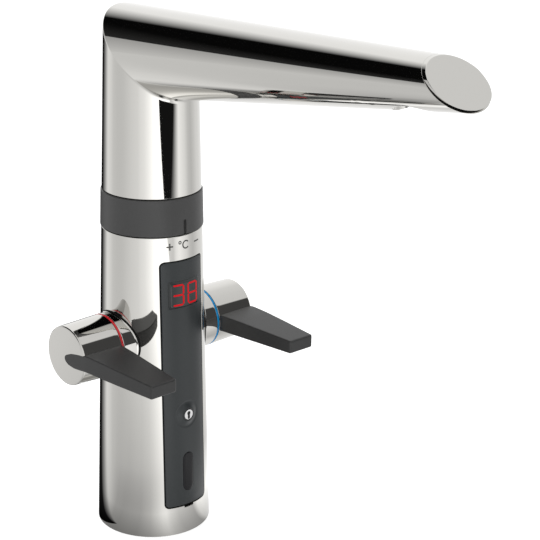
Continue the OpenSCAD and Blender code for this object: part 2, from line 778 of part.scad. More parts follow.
// Display window, slightly raised, and its lit segments
module display_window() {
  color([0.14, 0.15, 0.15]) difference() {
    union() {
      intersection() {
        wall(display_z - 20, display_z + 20, 0, panel_t);
        front(display_z) rounded(display_w - 2 * seat_gap, display_h - 2 * seat_gap, 0.6);
      }
      intersection() {
        wall(display_z - 20, display_z + 20, -0.8, 0.5);
        front(display_z) rounded(display_w - 1.4, display_h - 0.8, 0.6);
      }
    }
    intersection() {
      wall(display_z - 20, display_z + 20, -1.5, 0.6);
      digits();
    }
  }
}
module display_digits() {
  color([0.85, 0.12, 0.15]) intersection() {
    wall(display_z - 20, display_z + 20, -0.82, 0.6 - e);
    digits();
  }
}
module display_module() {
  color([0.08, 0.08, 0.08]) translate([-8.3, -rc(display_z) + 4.2, display_z - 6.4])
    cube([16.6, rc(display_z) - 4.2 - board_y, 12.8]);
}

// Push button with a pale disc
module button_cap() {
  y0 = rc(button_z) + 1;
  color(dark) translate([0, 0, button_z]) rotate([90, 0, 0]) difference() {
    union() {
      translate([0, 0, board_y + 2.6]) cylinder(r = button_d / 2, h = y0 - board_y - 2.6);
      translate([0, 0, board_y + 2.6]) cylinder(r = button_d / 2 + 1, h = 1.6);
    }
    translate([0, 0, y0 - 0.5]) cylinder(r = button_d * 0.41 + e, h = 2);
  }
}
module button_disc() {
  color([0.95, 0.95, 0.95]) translate([0, -rc(button_z) - 0.5, button_z]) rotate([90, 0, 0])
    cylinder(r = button_d * 0.41, h = 0.5);
}
module button_switch() {
  color([0.5, 0.5, 0.5]) translate([0, -board_y, button_z]) rotate([90, 0, 0]) {
    translate([-3, -3, 0]) cube([6, 6, 1.2]);
    cylinder(r = 1.6, h = 2.55 - button_travel);
  }
}

// Sensor lens and the infrared emitter and receiver behind it
module sensor_lens() {
  color([0.08, 0.08, 0.09]) intersection() {
    wall(lens_z - 20, lens_z + 20, -0.3, panel_t);
    front(lens_z) rounded(lens_w - 2 * seat_gap, lens_h - 2 * seat_gap, lens_w / 2 - 2 * seat_gap);
  }
}
module infrared_pair() {
  color([0.2, 0.15, 0.25]) for (z = [-6, 6]) translate([0, -board_y, lens_z + z]) rotate([90, 0, 0])
    cylinder(r = 2.5, h = rc(lens_z) - panel_t - 1 - board_y);
}

// Electronics
module circuit_board() {
  color([0.1, 0.35, 0.2]) translate([-board_w / 2, -board_y, panel_z]) cube([board_w, board_t, panel_h]);
}
module battery() {
  color([0.2, 0.2, 0.25]) translate([-battery_w / 2, battery_y, base_t + 2]) cube([battery_w, battery_d, battery_h]);
}
module battery_holder() {
  color([0.12, 0.12, 0.12]) difference() {
    translate([-battery_w / 2 - holder_wall, battery_y - holder_wall, base_t])
      cube([battery_w + 2 * holder_wall, battery_d + 2 * holder_wall, 32]);
    translate([-battery_w / 2, battery_y, base_t + 2]) cube([battery_w, battery_d, battery_h]);
  }
}

body_shell();
scale_marks();
base_plate();
base_seal();
base_grub_screws();
hot_inlet_tube();
cold_inlet_tube();
valve_block();
hot_cartridge();
cold_cartridge();
hot_gland_nut();
cold_gland_nut();
hot_collar();
cold_collar();
hot_ring();
cold_ring();
hot_stem();
cold_stem();
hot_hub();
cold_hub();
hot_lever();
cold_lever();
hot_hub_screw();
cold_hub_screw();
solenoid_valve();
solenoid_coil();
solenoid_plunger();
swivel_spigot();
spigot_screws();
slide_rings();
spigot_seals();
retaining_clip();
dial_bearing();
temperature_ring();
dial_magnet();
dial_sensor();
spout_shell();
spout_end_cap();
spout_socket();
socket_cap();
swivel_stop_screw();
spout_tube();
aerator_housing();
aerator_ring();
aerator_insert();
panel_frame();
front_panel();
display_window();
display_digits();
display_module();
button_cap();
button_disc();
button_switch();
sensor_lens();
infrared_pair();
circuit_board();
battery();
battery_holder();
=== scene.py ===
"""Touchless kitchen faucet: chrome column, swivelling spout, two levers, temperature ring, front panel.

Shapes are worked out in millimetres, in the part's own frame, and become metres when a mesh is made.
"""

import bpy
import numpy as np
from mathutils import Matrix, Vector


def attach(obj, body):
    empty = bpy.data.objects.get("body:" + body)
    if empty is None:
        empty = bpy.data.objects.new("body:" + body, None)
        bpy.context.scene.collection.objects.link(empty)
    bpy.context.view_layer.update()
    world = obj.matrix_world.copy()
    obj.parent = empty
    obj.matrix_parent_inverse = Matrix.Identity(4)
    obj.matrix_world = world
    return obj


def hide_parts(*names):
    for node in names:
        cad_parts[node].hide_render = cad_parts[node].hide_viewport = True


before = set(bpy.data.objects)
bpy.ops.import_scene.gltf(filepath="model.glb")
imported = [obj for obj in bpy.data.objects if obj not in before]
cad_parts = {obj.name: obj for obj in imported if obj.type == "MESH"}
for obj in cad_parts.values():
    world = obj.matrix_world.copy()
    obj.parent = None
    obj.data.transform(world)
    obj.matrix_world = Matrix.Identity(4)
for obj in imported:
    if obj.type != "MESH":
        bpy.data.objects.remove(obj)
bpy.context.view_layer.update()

MM = 0.001

# Column, as in the part's source
BASE_R, TAPER, BODY_H, BODY_WALL = 28.0, 0.0238, 154.0, 2.2
HANDLE_HOLE_R, GRUB_HOLE_R, GRUB_HOLE_Z = 12.05, 1.55, 7
# Temperature ring, its outer radius, and its slot
DIAL_Z0, DIAL_Z1, DIAL_PROUD, DIAL_WALL, DIAL_R = 154.42, 172.22, 0.48, 2.2, 24.6
SLOT_W, SLOT_H, SLOT_DEPTH = 1.5, 6.5, 1.1
# Handles
HANDLE_Z, HUB_R, HUB_END_R = 99.0, 15.07, 14.46
COLLAR_X, RING_X, HUB_X0, HUB_X1 = 29.3, 30.3, 30.6, 52.5
HUB_ROUNDING, HUB_SCREW_X, HUB_SCREW_R = 0.75, 39.6, 2.03
LEVER_REACH, TIP_T, TIP_W, TIP_X = 60.8, 6.4, 14.6, HUB_X1 - 17
# Spout
SPOUT_Z0, SPOUT_Z, SPOUT_L = 172.64, 237.03, 190.08
RISE, MITRE_UP, MITRE_LEAN = np.radians(5.39), 1.6, np.radians(40.6)
END_LEAN, SPOUT_WALL = np.radians(44.8), 1.6
TIP_SIDE, TIP_TOP = 15.9, 10.45
AERATOR_S, AERATOR_R, AERATOR_RING_TOP = 170.08, 12.03, 7.62
STOP_SCREW_Z, STOP_SCREW_R = 191.04, 2.1
# The shell ends this far behind the end plane, to leave room for the plate
PLATE_ROOM = 1.4
# Front panel
PANEL_W, PANEL_H, PANEL_Z, PANEL_R, PANEL_T = 25.4, 127.0, 14.8, 2.3, 1.8
PANEL_GAP, PANEL_MID, NOTCH, NOTCH_W = 0.25, 78.3, 0.95, 5.6
DISPLAY_Z, DIGIT_H = 125.1, 10.8
WINDOW_W, WINDOW_H, WINDOW_PROUD, WINDOW_FOOT = 16.3, 11.3, 0.8, 1.05
BUTTON_Z, BUTTON_R = 63.0, 3.3
LENS_Z, LENS_W, LENS_H = 32.6, 6.4, 20.5


def column_radius(z):
    """Radius of the column: 28 at the deck, less 0.0238 for each millimetre of height."""
    return BASE_R - TAPER * z


# Half the arm's width and half its height where it starts
SIDE0 = column_radius(SPOUT_Z)
TOP0 = SIDE0 - 1.17


# Plans and meshes


def stacked(*parts):
    """Points from their coordinates. A single number counts for all of them."""
    return np.stack(np.broadcast_arrays(*parts), axis=-1)


def rounding(radius, steps=4):
    """Quarter round of an edge, from the face down: rows of (distance in from it, depth under the face)."""
    turn = np.radians(np.linspace(0, 90, steps + 1))
    return stacked(radius * (1 - np.sin(turn)), radius * (1 - np.cos(turn)))


def rounded_side(steps, half, radius):
    """One side of a rounded rectangle, mid-corner to mid-corner: place along it and inset, without the last
    point. A fifth of the points go to each corner, or all of them where no straight part is left."""
    on_arc = steps / 2 if half - radius < 1e-6 else max(2, steps // 5)
    k = np.arange(steps)
    arc = np.radians(45) * (np.clip(1 - k / on_arc, 0, 1) - np.clip(1 - (steps - k) / on_arc, 0, 1))
    straight = np.clip((k - on_arc) / max(steps - 2 * on_arc, 1e-9), 0, 1) * 2 - 1
    along = straight * (half - radius) - radius * np.sin(arc)
    return along, radius - radius * np.cos(arc)


def rounded_loop(w, h, radius, across, up):
    """Rounded rectangle about the origin, anticlockwise from the lower left corner: across steps on the
    lower and upper sides, up steps on the others."""
    a, a_in = rounded_side(across, w / 2, radius)
    b, b_in = rounded_side(up, h / 2, radius)
    x = np.concatenate([a, w / 2 - b_in, -a, b_in - w / 2])
    y = np.concatenate([a_in - h / 2, b, h / 2 - a_in, -b])
    return stacked(x, y)


def outlines(w, h, radius, rows, where, soften=1.0):
    """Loops for a plan: a rounded rectangle for each row (growth, sink). Its corner radius grows by soften
    times the growth, and where turns its points (x, y) into (u, v)."""

    def loops(across, up):
        made = []
        for grow, sink in rows:
            x, y = rounded_loop(w + 2 * grow, h + 2 * grow, radius + soften * grow, across, up).T
            made.append(stacked(*where(x, y), sink))
        return made

    return loops


def circles(radius, rows, where):
    """Loops for a plan: a circle for each row (growth, sink)."""
    return outlines(2 * radius, 2 * radius, radius, rows, where)


def about(z):
    """Puts a loop's points about the place (0, z)."""
    return lambda x, y: (x, y + z)


def edge_sinks(start, rows, end):
    """Sinks of a grid's rows: up out of the rounding at its start, down into the one at its end."""
    return np.concatenate([start[::-1, 1], np.zeros(len(rows) - len(start) - len(end)), end[:, 1]])


class Plan:
    """Plan of a surface: a grid over (u, v), where a block of cells may give way to rings round a hole or
    an edge. Each point also has its sink, the depth under the surface."""

    def __init__(self, us, vs, sink=0.0, wrap=False):
        self.us, self.vs = np.asarray(us, float), np.asarray(vs, float)
        u, v = np.meshgrid(self.us, self.vs)
        self.points = stacked(u, v, np.reshape(sink, (-1, 1))).reshape(-1, 3)
        self.number = np.arange(u.size).reshape(u.shape)
        if wrap:
            self.number = np.concatenate([self.number, self.number[:, :1]], axis=1)
        self.keep = np.ones((self.number.shape[0] - 1, self.number.shape[1] - 1), bool)
        self.rings, self.caps = [], []

    def block(self, u0, u1, v0, v1):
        """Grid lines nearest to a block's sides, and the points round it, anticlockwise."""
        j0, j1 = (int(np.argmin(abs(self.us - u))) for u in (u0, u1))
        i0, i1 = (int(np.argmin(abs(self.vs - v))) for v in (v0, v1))
        n = self.number
        around = np.concatenate([n[i0, j0:j1], n[i0:i1, j1], n[i1, j1:j0:-1], n[i1:i0:-1, j0]])
        return j0, j1, i0, i1, around

    def strip(self, start, loops, flip=False):
        """Rings of quads from the points numbered start through each loop of new points."""
        last = start
        for loop in loops:
            new = np.arange(len(loop)) + len(self.points)
            self.points = np.concatenate([self.points, loop])
            quad = stacked(last, np.roll(last, -1), np.roll(new, -1), new)
            self.rings.append(quad[:, ::-1] if flip else quad)
            last = new
        return last

    def hole(self, block, loops, between=(0.5,), floor=False):
        """Leaves a block out and fills it with rings, from its outline to the first loop and on through the
        others. loops(across, up) gives them, from the outer one in."""
        j0, j1, i0, i1, around = self.block(*block)
        self.keep[i0:i1, j0:j1] = False
        loops = loops(j1 - j0, i1 - i0)
        outline = self.points[around]
        eased = [outline + (loops[0] - outline) * part for part in between]
        last = self.strip(around, eased + list(loops))
        if floor:
            self.caps.append(last)

    def border(self, loops):
        """Rings round the outside of the grid, from its outline out."""
        around = self.block(self.us[0], self.us[-1], self.vs[0], self.vs[-1])[4]
        self.strip(around, loops(len(self.us) - 1, len(self.vs) - 1), flip=True)

    def quads(self):
        """The grid's quads that are kept, and those of the rings."""
        n = self.number
        cell = stacked(n[:-1, :-1], n[:-1, 1:], n[1:, 1:], n[1:, :-1])[self.keep]
        return np.concatenate([cell.reshape(-1, 4)] + self.rings)


def trimmed(points, faces):
    """Points that a face uses, and the faces with their new numbers."""
    used = np.zeros(len(points), bool)
    for face in faces:
        used[np.asarray(face)] = True
    number = np.cumsum(used) - 1
    return points[used], [number[np.asarray(face)] for face in faces]


def with_directions(place, at):
    """Points of a placer, each with the direction its surface faces there, by small steps in u and v."""
    u, v, sink = at.T
    across = place(u + 1e-4, v, sink) - place(u - 1e-4, v, sink)
    along = place(u, v + 1e-4, sink) - place(u, v - 1e-4, sink)
    facing = np.cross(across, along)
    return np.hstack([place(u, v, sink), facing / np.linalg.norm(facing, axis=1)[:, None]])


def shell(plan, outer, inner, exact=False):
    """Closed wall: the plan placed by outer, placed again by inner and turned over, and a wall along every
    free edge. outer and inner take (u, v, sink) and give points, and an exact shell has directions too."""
    quads, points = plan.quads(), plan.points
    count = len(points)
    turned_over = quads[:, ::-1] + count
    start, end = quads.ravel(), np.roll(quads, -1, axis=1).ravel()
    caps = [list(c) for c in plan.caps]
    for cap in plan.caps:
        start, end = np.append(start, cap), np.append(end, np.roll(cap, -1))
    free = ~np.isin(start * count + end, end * count + start)
    start, end = start[free], end[free]
    wall = stacked(end, start, start + count, end + count)
    if exact:
        placed = np.concatenate([with_directions(outer, points), with_directions(inner, points)])
    else:
        placed = np.concatenate([outer(*points.T), inner(*points.T)])
    faces = [quads, turned_over, wall]
    caps += [[i + count for i in reversed(c)] for c in caps]
    return trimmed(placed, faces + [np.array([c]) for c in caps])


def tube(rows, start_cap=True, end_cap=True):
    """Closed skin through rows of points, each row one loop, with flat ends."""
    count, around = rows.shape[:2]
    number = np.arange(count * around).reshape(count, around)
    wide = np.concatenate([number, number[:, :1]], axis=1)
    quad = stacked(wide[:-1, :-1], wide[:-1, 1:], wide[1:, 1:], wide[1:, :-1]).reshape(-1, 4)
    faces = [quad]
    if start_cap:
        faces.append(number[0][::-1][None])
    if end_cap:
        faces.append(number[-1][None])
    return rows.reshape(-1, 3), faces


def hollow(rows, side=1):
    """Closed skin of a ring: from loop to loop and back to the first, mirrored in x for side -1."""
    return tube(np.array(rows + rows[:1]) * np.array([side, 1, 1]), start_cap=False, end_cap=False)


def added(name, data):
    """New object in the scene."""
    obj = bpy.data.objects.new(name, data)
    bpy.context.scene.collection.objects.link(obj)
    return obj


def volume(points, groups):
    """Six times the volume inside closed faces: below zero when they face inward."""
    corners = [points[group] for group in groups]
    return sum((c[:, :1] * np.cross(c[:, 1:-1], c[:, 2:])).sum() for c in corners)


def piece(name, shape, body, slot, stands_for=(), sharp=32):
    """Makes a mesh from (points in millimetres, face groups), smooth but for edges sharper than sharp
    degrees. Exact directions are used where the points carry them."""
    points, groups = shape[0][:, :3], [np.asarray(group) for group in shape[1]]
    if volume(points, groups) < 0:
        groups = [group[:, ::-1] for group in groups]
    mesh = bpy.data.meshes.new(name)
    mesh.from_pydata((points * MM).tolist(), [], [face for group in groups for face in group.tolist()])
    mesh.polygons.foreach_set("use_smooth", np.ones(len(mesh.polygons), bool))
    mesh.set_sharp_from_angle(angle=np.radians(sharp))
    obj = added(name, mesh)
    if shape[0].shape[1] > 3:
        shade_exactly(mesh, shape[0][:, 3:])
    else:
        obj.modifiers.new("large_faces_stay_flat", "WEIGHTED_NORMAL").keep_sharp = True
    mesh.materials.append(FINISHES[slot])
    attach(obj, body)
    if stands_for:
        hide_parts(*stands_for)
    return obj


def shade_exactly(mesh, directions):
    """Gives face corners their point's exact direction where the face lies within 4 degrees of it."""
    corners = len(mesh.loops)
    at, shown = np.zeros(corners, np.int32), np.zeros(corners * 3, np.float32)
    mesh.loops.foreach_get("vertex_index", at)
    mesh.corner_normals.foreach_get("vector", shown)
    face_normal, sizes = np.zeros(len(mesh.polygons) * 3, np.float32), np.zeros(len(mesh.polygons), np.int32)
    mesh.polygons.foreach_get("normal", face_normal)
    mesh.polygons.foreach_get("loop_total", sizes)
    flat = np.repeat(face_normal.reshape(-1, 3), sizes, axis=0)
    exact = directions[at]
    agree = (flat * exact).sum(axis=1)
    along = abs(agree) > np.cos(np.radians(4))
    exact = exact * np.sign(agree)[:, None]
    mesh.normals_split_custom_set(np.where(along[:, None], exact, shown.reshape(-1, 3)).tolist())


# Finishes


class Amount:
    """A number that a shader works out, as the output of a node. Amounts add, subtract and multiply."""

    def __init__(self, socket):
        self.socket = socket
        self.tree = socket.id_data

    def math(self, operation, *others):
        """This amount taken into a math node first, the others after it."""
        made = node(self.tree, "Math", dict(enumerate([self, *others])), operation=operation)
        return Amount(made.outputs[0])

    def __add__(self, other):
        return self.math("ADD", other)

    def __sub__(self, other):
        return self.math("SUBTRACT", other)

    def __rsub__(self, other):
        return Amount(node(self.tree, "Math", {0: other, 1: self}, operation="SUBTRACT").outputs[0])

    def __mul__(self, other):
        return self.math("MULTIPLY", other)


def node(tree, kind, inputs=None, **settings):
    """Adds a node, sets what it is and fills its inputs with numbers, other nodes' outputs or amounts."""
    made = tree.nodes.new("ShaderNode" + kind)
    for key, value in settings.items():
        setattr(made, key, value)
    for key, value in (inputs or {}).items():
        source = value.socket if isinstance(value, Amount) else value
        if isinstance(source, bpy.types.NodeSocket):
            tree.links.new(source, made.inputs[key])
        else:
            made.inputs[key].default_value = source
    return made


def finish(name, color, rough, metal=0.0, grain=400.0, depth=0.0, rough_spread=0.04, tint_spread=0.04,
           coat=0.0, glow=0.0, stretch=(1, 1, 1), specular=0.5, drift=35.0):
    """Finish with a fine grain in its roughness and relief, and a slow drift in its colour."""
    mat = bpy.data.materials.new(name)
    mat.use_nodes = True
    tree = mat.node_tree
    shader = tree.nodes["Principled BSDF"]
    plain = {"Metallic": metal, "Specular IOR Level": specular, "Coat Weight": coat, "Coat Roughness": 0.1}
    for key, value in plain.items():
        shader.inputs[key].default_value = value
    place = node(tree, "TexCoord").outputs["Object"]
    turned = node(tree, "Mapping", {"Vector": place, "Scale": stretch}).outputs[0]
    fine = node(tree, "TexNoise", {"Vector": turned, "Scale": grain, "Detail": 3.0}).outputs["Fac"]
    slow = node(tree, "TexNoise", {"Vector": place, "Scale": drift, "Detail": 2.0}).outputs["Fac"]
    limits = {"Value": fine, "To Min": max(rough - rough_spread, 0.0), "To Max": rough + rough_spread}
    tree.links.new(node(tree, "MapRange", limits).outputs["Result"], shader.inputs["Roughness"])
    changes = (1 - tint_spread, 1 + tint_spread)
    darker, lighter = ([min(c * change, 1) for c in color] + [1] for change in changes)
    shade = node(tree, "Mix", {0: slow, 6: darker, 7: lighter}, data_type="RGBA").outputs[2]
    tree.links.new(shade, shader.inputs["Base Color"])
    if depth:
        relief = node(tree, "Bump", {"Strength": 1.0, "Distance": depth * MM, "Height": fine})
        tree.links.new(relief.outputs["Normal"], shader.inputs["Normal"])
    if glow:
        tree.links.new(shade, shader.inputs["Emission Color"])
        shader.inputs["Emission Strength"].default_value = glow
    return mat


FINISHES = {
    "chrome": finish("polished_chrome", (0.62, 0.61, 0.583), 0.04, metal=1, rough_spread=0.012,
                     tint_spread=0.01),
    "mark_grey": finish("printed_grey", (0.085, 0.085, 0.08), 0.5, grain=900),
    "brass": finish("turned_brass", (0.60, 0.45, 0.22), 0.28, metal=1, stretch=(0.2, 0.2, 6), depth=0.01),
    "seal_rubber": finish("seal_rubber", (0.006, 0.006, 0.006), 0.7, grain=1500, depth=0.02, specular=0.2),
    "screw_steel": finish("screw_steel", (0.42, 0.42, 0.43), 0.3, metal=1, grain=900, depth=0.01),
    "copper_tube": finish("drawn_copper", (0.62, 0.32, 0.18), 0.25, metal=1, stretch=(8, 8, 0.3),
                          depth=0.01),
    "cartridge_plastic": finish("cartridge_plastic", (0.62, 0.62, 0.58), 0.4, depth=0.01),
    "red_enamel": finish("red_enamel", (0.68, 0.02, 0.028), 0.22, coat=0.5, specular=0.4),
    "blue_enamel": finish("blue_enamel", (0.001, 0.3, 0.68), 0.22, coat=0.2, specular=0.3),
    "dark_lever": finish("lever_paint", (0.03, 0.03, 0.03), 0.45, grain=1600, depth=0.006, specular=0.42),
    "dark_dial": finish("dial_paint", (0.054, 0.054, 0.054), 0.45, grain=1600, depth=0.006,
                        rough_spread=0.05),
    "panel_dark": finish("panel_plastic", (0.025, 0.03, 0.032), 0.38, grain=1800, depth=0.004,
                         rough_spread=0.05, specular=0.45),
    "window_smoke": finish("smoked_window", (0.025, 0.029, 0.03), 0.14, grain=700, specular=0.45),
    "digit_red": finish("lit_red", (0.54, 0.005, 0.01), 0.3, glow=0.45, specular=0.1),
    "lens_black": finish("black_lens", (0.012, 0.012, 0.014), 0.06, grain=500, rough_spread=0.02,
                         specular=0.22),
    "button_dark": finish("button_rim", (0.03, 0.035, 0.037), 0.38, grain=900),
    # The face's glow is painted light that brightens the white disc; the disc holds no lamp
    "button_pale": finish("button_face", (0.9, 0.9, 0.9), 0.3, grain=900, tint_spread=0.02, glow=0.12),
    "black_plastic": finish("black_plastic", (0.01, 0.01, 0.01), 0.55, grain=1200, depth=0.02, specular=0.3),
    "valve_plastic": finish("valve_plastic", (0.5, 0.5, 0.48), 0.45, grain=900, depth=0.01),
    "board_green": finish("board_lacquer", (0.01, 0.10, 0.045), 0.3, grain=250, tint_spread=0.2, drift=300),
    "battery_wrap": finish("battery_wrap", (0.05, 0.05, 0.07), 0.3, grain=600),
}

# Every solid of the part takes its slot's finish
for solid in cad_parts.values():
    for holder in solid.material_slots:
        slot = holder.material.name.split(".")[0] if holder.material else ""
        if slot in FINISHES:
            holder.material = FINISHES[slot]


# Column


def on_cone(offset):
    """Placer on the column: u is the angle from the front to the cold side in degrees, v the height."""

    def place(turn, z, sink):
        radius = column_radius(z) - offset - sink
        return stacked(radius * np.sin(np.radians(turn)), -radius * np.cos(np.radians(turn)), z)

    return place


def on_angle(x, z):
    """The column's angle in degrees at the front for a place (x, z)."""
    return np.degrees(np.arcsin(np.clip(x / column_radius(z), -1, 1)))


def on_front(fixed_sink=None):
    """Placer on the column's front: u is x, v the height, straight in from the surface by the sink."""

    def place(x, z, sink):
        return on_cone(0)(on_angle(x, z), z, sink if fixed_sink is None else fixed_sink)

    return place


def column_body():
    """Cone up to the temperature ring, with the panel's window, both handle holes and three screw holes."""
    rim = rounding(0.3)
    rows = np.concatenate([rim[::-1, 0], np.arange(3, 11, 2), np.arange(11, 76, 8), np.arange(84, 115, 7.5),
                           [121, 128, 134, 140, 146, 150], BODY_H - rim[:, 0]])
    plan = Plan(np.arange(-150, 210, 2.5), rows, edge_sinks(rim, rows, rim), wrap=True)

    def window(across, up):
        """The panel's outline with its gap. Its lower side drops at a notch with steep sides."""
        loops = []
        for inset, sink in rounding(0.15):
            grow = 2 * (PANEL_GAP + inset)
            x, z = rounded_loop(PANEL_W + grow, PANEL_H + grow, PANEL_R + grow / 2, across, up).T
            for edge in (-NOTCH_W / 2, NOTCH_W / 2):
                k = np.searchsorted(x[:across], edge)
                x[k - 1:k + 1] = edge - 0.04, edge + 0.04
            z[:across] -= NOTCH * (abs(x[:across]) < NOTCH_W / 2)
            loops.append(stacked(on_angle(x, z + PANEL_MID), z + PANEL_MID, sink))
        return loops

    def round_hole(radius, turn, z):
        return circles(radius, rounding(0.2, 2), lambda x, y: (turn + on_angle(x, z + y), z + y))

    plan.hole((-35, 35, 11, 146), window, between=(0.45, 0.85))
    for side in (-90, 90):
        plan.hole((side - 35, side + 35, 84, 114), round_hole(HANDLE_HOLE_R, side, HANDLE_Z))
    for turn in (135, 180, -135):
        plan.hole((turn - 10, turn + 10, 3, 11), round_hole(GRUB_HOLE_R, turn, GRUB_HOLE_Z))
    return shell(plan, on_cone(0), on_cone(BODY_WALL), exact=True)


piece("column_body", column_body(), "base", "chrome", ["body_shell"])


def stroke(points, half_width, turn=0.0, low=0.35, proud=0.02, closed=False):
    """Printed line: a flat bar carried along points (x, z) on the column's front, then turned round the
    column by an angle in degrees. Its face stands proud of the surface, and its back lies low under it."""
    ahead, back = np.roll(points, -1, axis=0), np.roll(points, 1, axis=0)
    if not closed:
        ahead[-1], back[0] = points[-1], points[0]
    along = ahead - back
    along /= np.linalg.norm(along, axis=1)[:, None]
    aside = stacked(-along[:, 1], along[:, 0]) * np.reshape(half_width, (-1, 1))
    sides = [(-1, proud), (1, proud), (1, -low), (-1, -low)]
    x, z = np.stack([points + aside * s for s, _ in sides], axis=1).transpose(2, 0, 1)
    angle = np.radians(turn) + np.arcsin(x / column_radius(z))
    radius = column_radius(z) + np.array([height for _, height in sides])
    rows = stacked(radius * np.sin(angle), -radius * np.cos(angle), z)
    if closed:
        rows = np.concatenate([rows, rows[:1]])
    return tube(rows, start_cap=not closed, end_cap=not closed)


def joined(shapes):
    """One shape from several."""
    points, faces, count = [], [], 0
    for p, groups in shapes:
        points.append(p)
        faces += [np.asarray(g) + count for g in groups]
        count += len(p)
    return np.concatenate(points), faces


def line(x0, z0, x1, z1, steps=6):
    """Straight run of points."""
    part = np.linspace(0, 1, steps + 1)[:, None]
    return np.array([x0, z0]) * (1 - part) + np.array([x1, z1]) * part


def arc(x, z, radius, start, end, steps=40):
    """Run of points on a circle, angles in degrees."""
    turn = np.radians(np.linspace(start, end, steps + 1))
    return stacked(x + radius * np.cos(turn), z + radius * np.sin(turn))


MARK_Z = 149.3
# Angle of each mark on the column
PLUS_AT, DEGREE_AT, LETTER_AT, MINUS_AT = -19.2, -6.5, 1.6, 20
marks = [
    stroke(line(-1.7, MARK_Z, 1.7, MARK_Z), 0.36, PLUS_AT),
    stroke(line(0, MARK_Z + 0.36, 0, MARK_Z + 1.7), 0.36, PLUS_AT),
    stroke(line(0, MARK_Z - 1.7, 0, MARK_Z - 0.36), 0.36, PLUS_AT),
    stroke(arc(0, MARK_Z + 1.4, 0.62, 0, 360)[:-1], 0.26, DEGREE_AT, closed=True),
    stroke(arc(0, MARK_Z, 1.83, 40, 320), 0.34, LETTER_AT),
    stroke(line(-2, MARK_Z, 2, MARK_Z), 0.36, MINUS_AT),
]
piece("scale_marks_print", joined(marks), "base", "mark_grey", ["scale_marks"])


# Temperature ring


def temperature_ring():
    """Band proud of the column with rounded rims; a slot with a round top is sunk in it at the front. The
    sink of a point is a smooth step over its distance to the slot's outline."""
    fine = np.degrees(np.arange(-1.3, 1.31, 0.1) / DIAL_R)
    turns = np.concatenate([np.arange(-180, -3, 2.5), fine, np.arange(5, 180, 2.5)])
    rim = rounding(0.45, 5)
    heights = np.concatenate([DIAL_Z0 + rim[::-1, 0], np.arange(155.6, 160.1, 0.9),
                              np.arange(160.4, 162, 0.1), np.arange(163.2, 171, 1.4), DIAL_Z1 - rim[:, 0]])
    plan = Plan(turns, heights, edge_sinks(rim, heights, rim), wrap=True)
    turn, z, _ = plan.points.T
    away = np.hypot(np.radians(turn) * DIAL_R, np.maximum(z - DIAL_Z0 - SLOT_H, 0)) - SLOT_W / 2
    share = np.clip(0.5 - away / 0.2, 0, 1)
    plan.points[:, 2] = np.maximum(plan.points[:, 2], SLOT_DEPTH * share * share * (3 - 2 * share))
    return shell(plan, on_cone(-DIAL_PROUD), on_cone(DIAL_WALL), exact=True)


piece("temperature_ring_band", temperature_ring(), "dial", "dark_dial", ["temperature_ring"])


# Spout

# Directions along the arm, upwards across it and aside, its start, and its end plane
FLAT = np.array([0, -np.cos(RISE), np.sin(RISE)])
ACROSS_UP = np.array([0, np.sin(RISE), np.cos(RISE)])
ASIDE = np.array([1, 0, 0])
SPOUT_O = np.array([0, 0, SPOUT_Z])
END_NORMAL = np.sin(END_LEAN) * ACROSS_UP + np.cos(END_LEAN) * FLAT
END_POINT = SPOUT_O + SPOUT_L * FLAT
# The spout's lines run this far past its end, where its end plane cuts them
OVER = 25.0
# Share of the way up the tube where the weld's rounding starts
CREASE = 0.99
# Angles round a turned piece, and round the spout in degrees
ROUND = np.radians(np.arange(0, 360, 2.5))
SPOUT_TURNS = np.arange(0, 360, 1.875)


def spout_lines(turn, off):
    """Three points of each line along the spout at angle turn: tube's foot, mitre, and a place past the
    end. The tube follows the column's cone, the arm is an oval that narrows."""
    c, s, slope = np.cos(turn), np.sin(turn), np.tan(MITRE_LEAN)
    mitre = (SPOUT_Z + MITRE_UP - slope * (BASE_R - off) * s) / (1 - slope * TAPER * s)
    low_r, high_r = column_radius(SPOUT_Z0) - off, column_radius(mitre) - off
    foot = stacked(low_r * c, -low_r * s, SPOUT_Z0)
    corner = stacked(high_r * c, -high_r * s, mitre)
    reach = SPOUT_L + OVER
    side = SIDE0 - (SIDE0 - TIP_SIDE) * reach / SPOUT_L - off
    top = TOP0 - (TOP0 - TIP_TOP) * reach / SPOUT_L - off
    past = SPOUT_O + reach * FLAT + (-top * s)[:, None] * ACROSS_UP + (side * c)[:, None] * ASIDE
    return foot, corner, past


def spout_parts(turn, off, back):
    """The spout's lines with the weld's rounding on both sides of the mitre and the end on its plane."""
    foot, corner, past = spout_lines(turn, off)
    weld = (0.5 + 1.6 * np.clip(np.sin(turn), 0, 1) ** 2)[:, None]
    down = (foot - corner) / np.linalg.norm(foot - corner, axis=1)[:, None]
    out = (past - corner) / np.linalg.norm(past - corner, axis=1)[:, None]
    share = ((END_POINT - corner) @ END_NORMAL - back) / ((past - corner) @ END_NORMAL)
    end = corner + (past - corner) * share[:, None]
    return foot, corner + down * weld, corner, corner + out * weld, end


def on_spout(offset):
    """Placer on the spout: u is the angle round it in degrees; v runs 0 to 0.99 up the tube, over the
    rounded weld to 1.01, and on to 2 at the end."""

    def place(turn, v, sink):
        foot, before, corner, after, end = spout_parts(np.radians(turn), offset + sink, PLATE_ROOM)
        v = v[:, None]
        mid = np.clip((v - CREASE) / (2 - 2 * CREASE), 0, 1)
        tube_part = foot + (before - foot) * np.clip(v / CREASE, None, 1)
        weld_part = before * (1 - mid) ** 2 + corner * 2 * mid * (1 - mid) + after * mid ** 2
        arm_part = after + (end - after) * np.clip((v - (2 - CREASE)) / CREASE, 0, None)
        return np.where(v < CREASE, tube_part, np.where(v > 2 - CREASE, arm_part, weld_part))

    return place


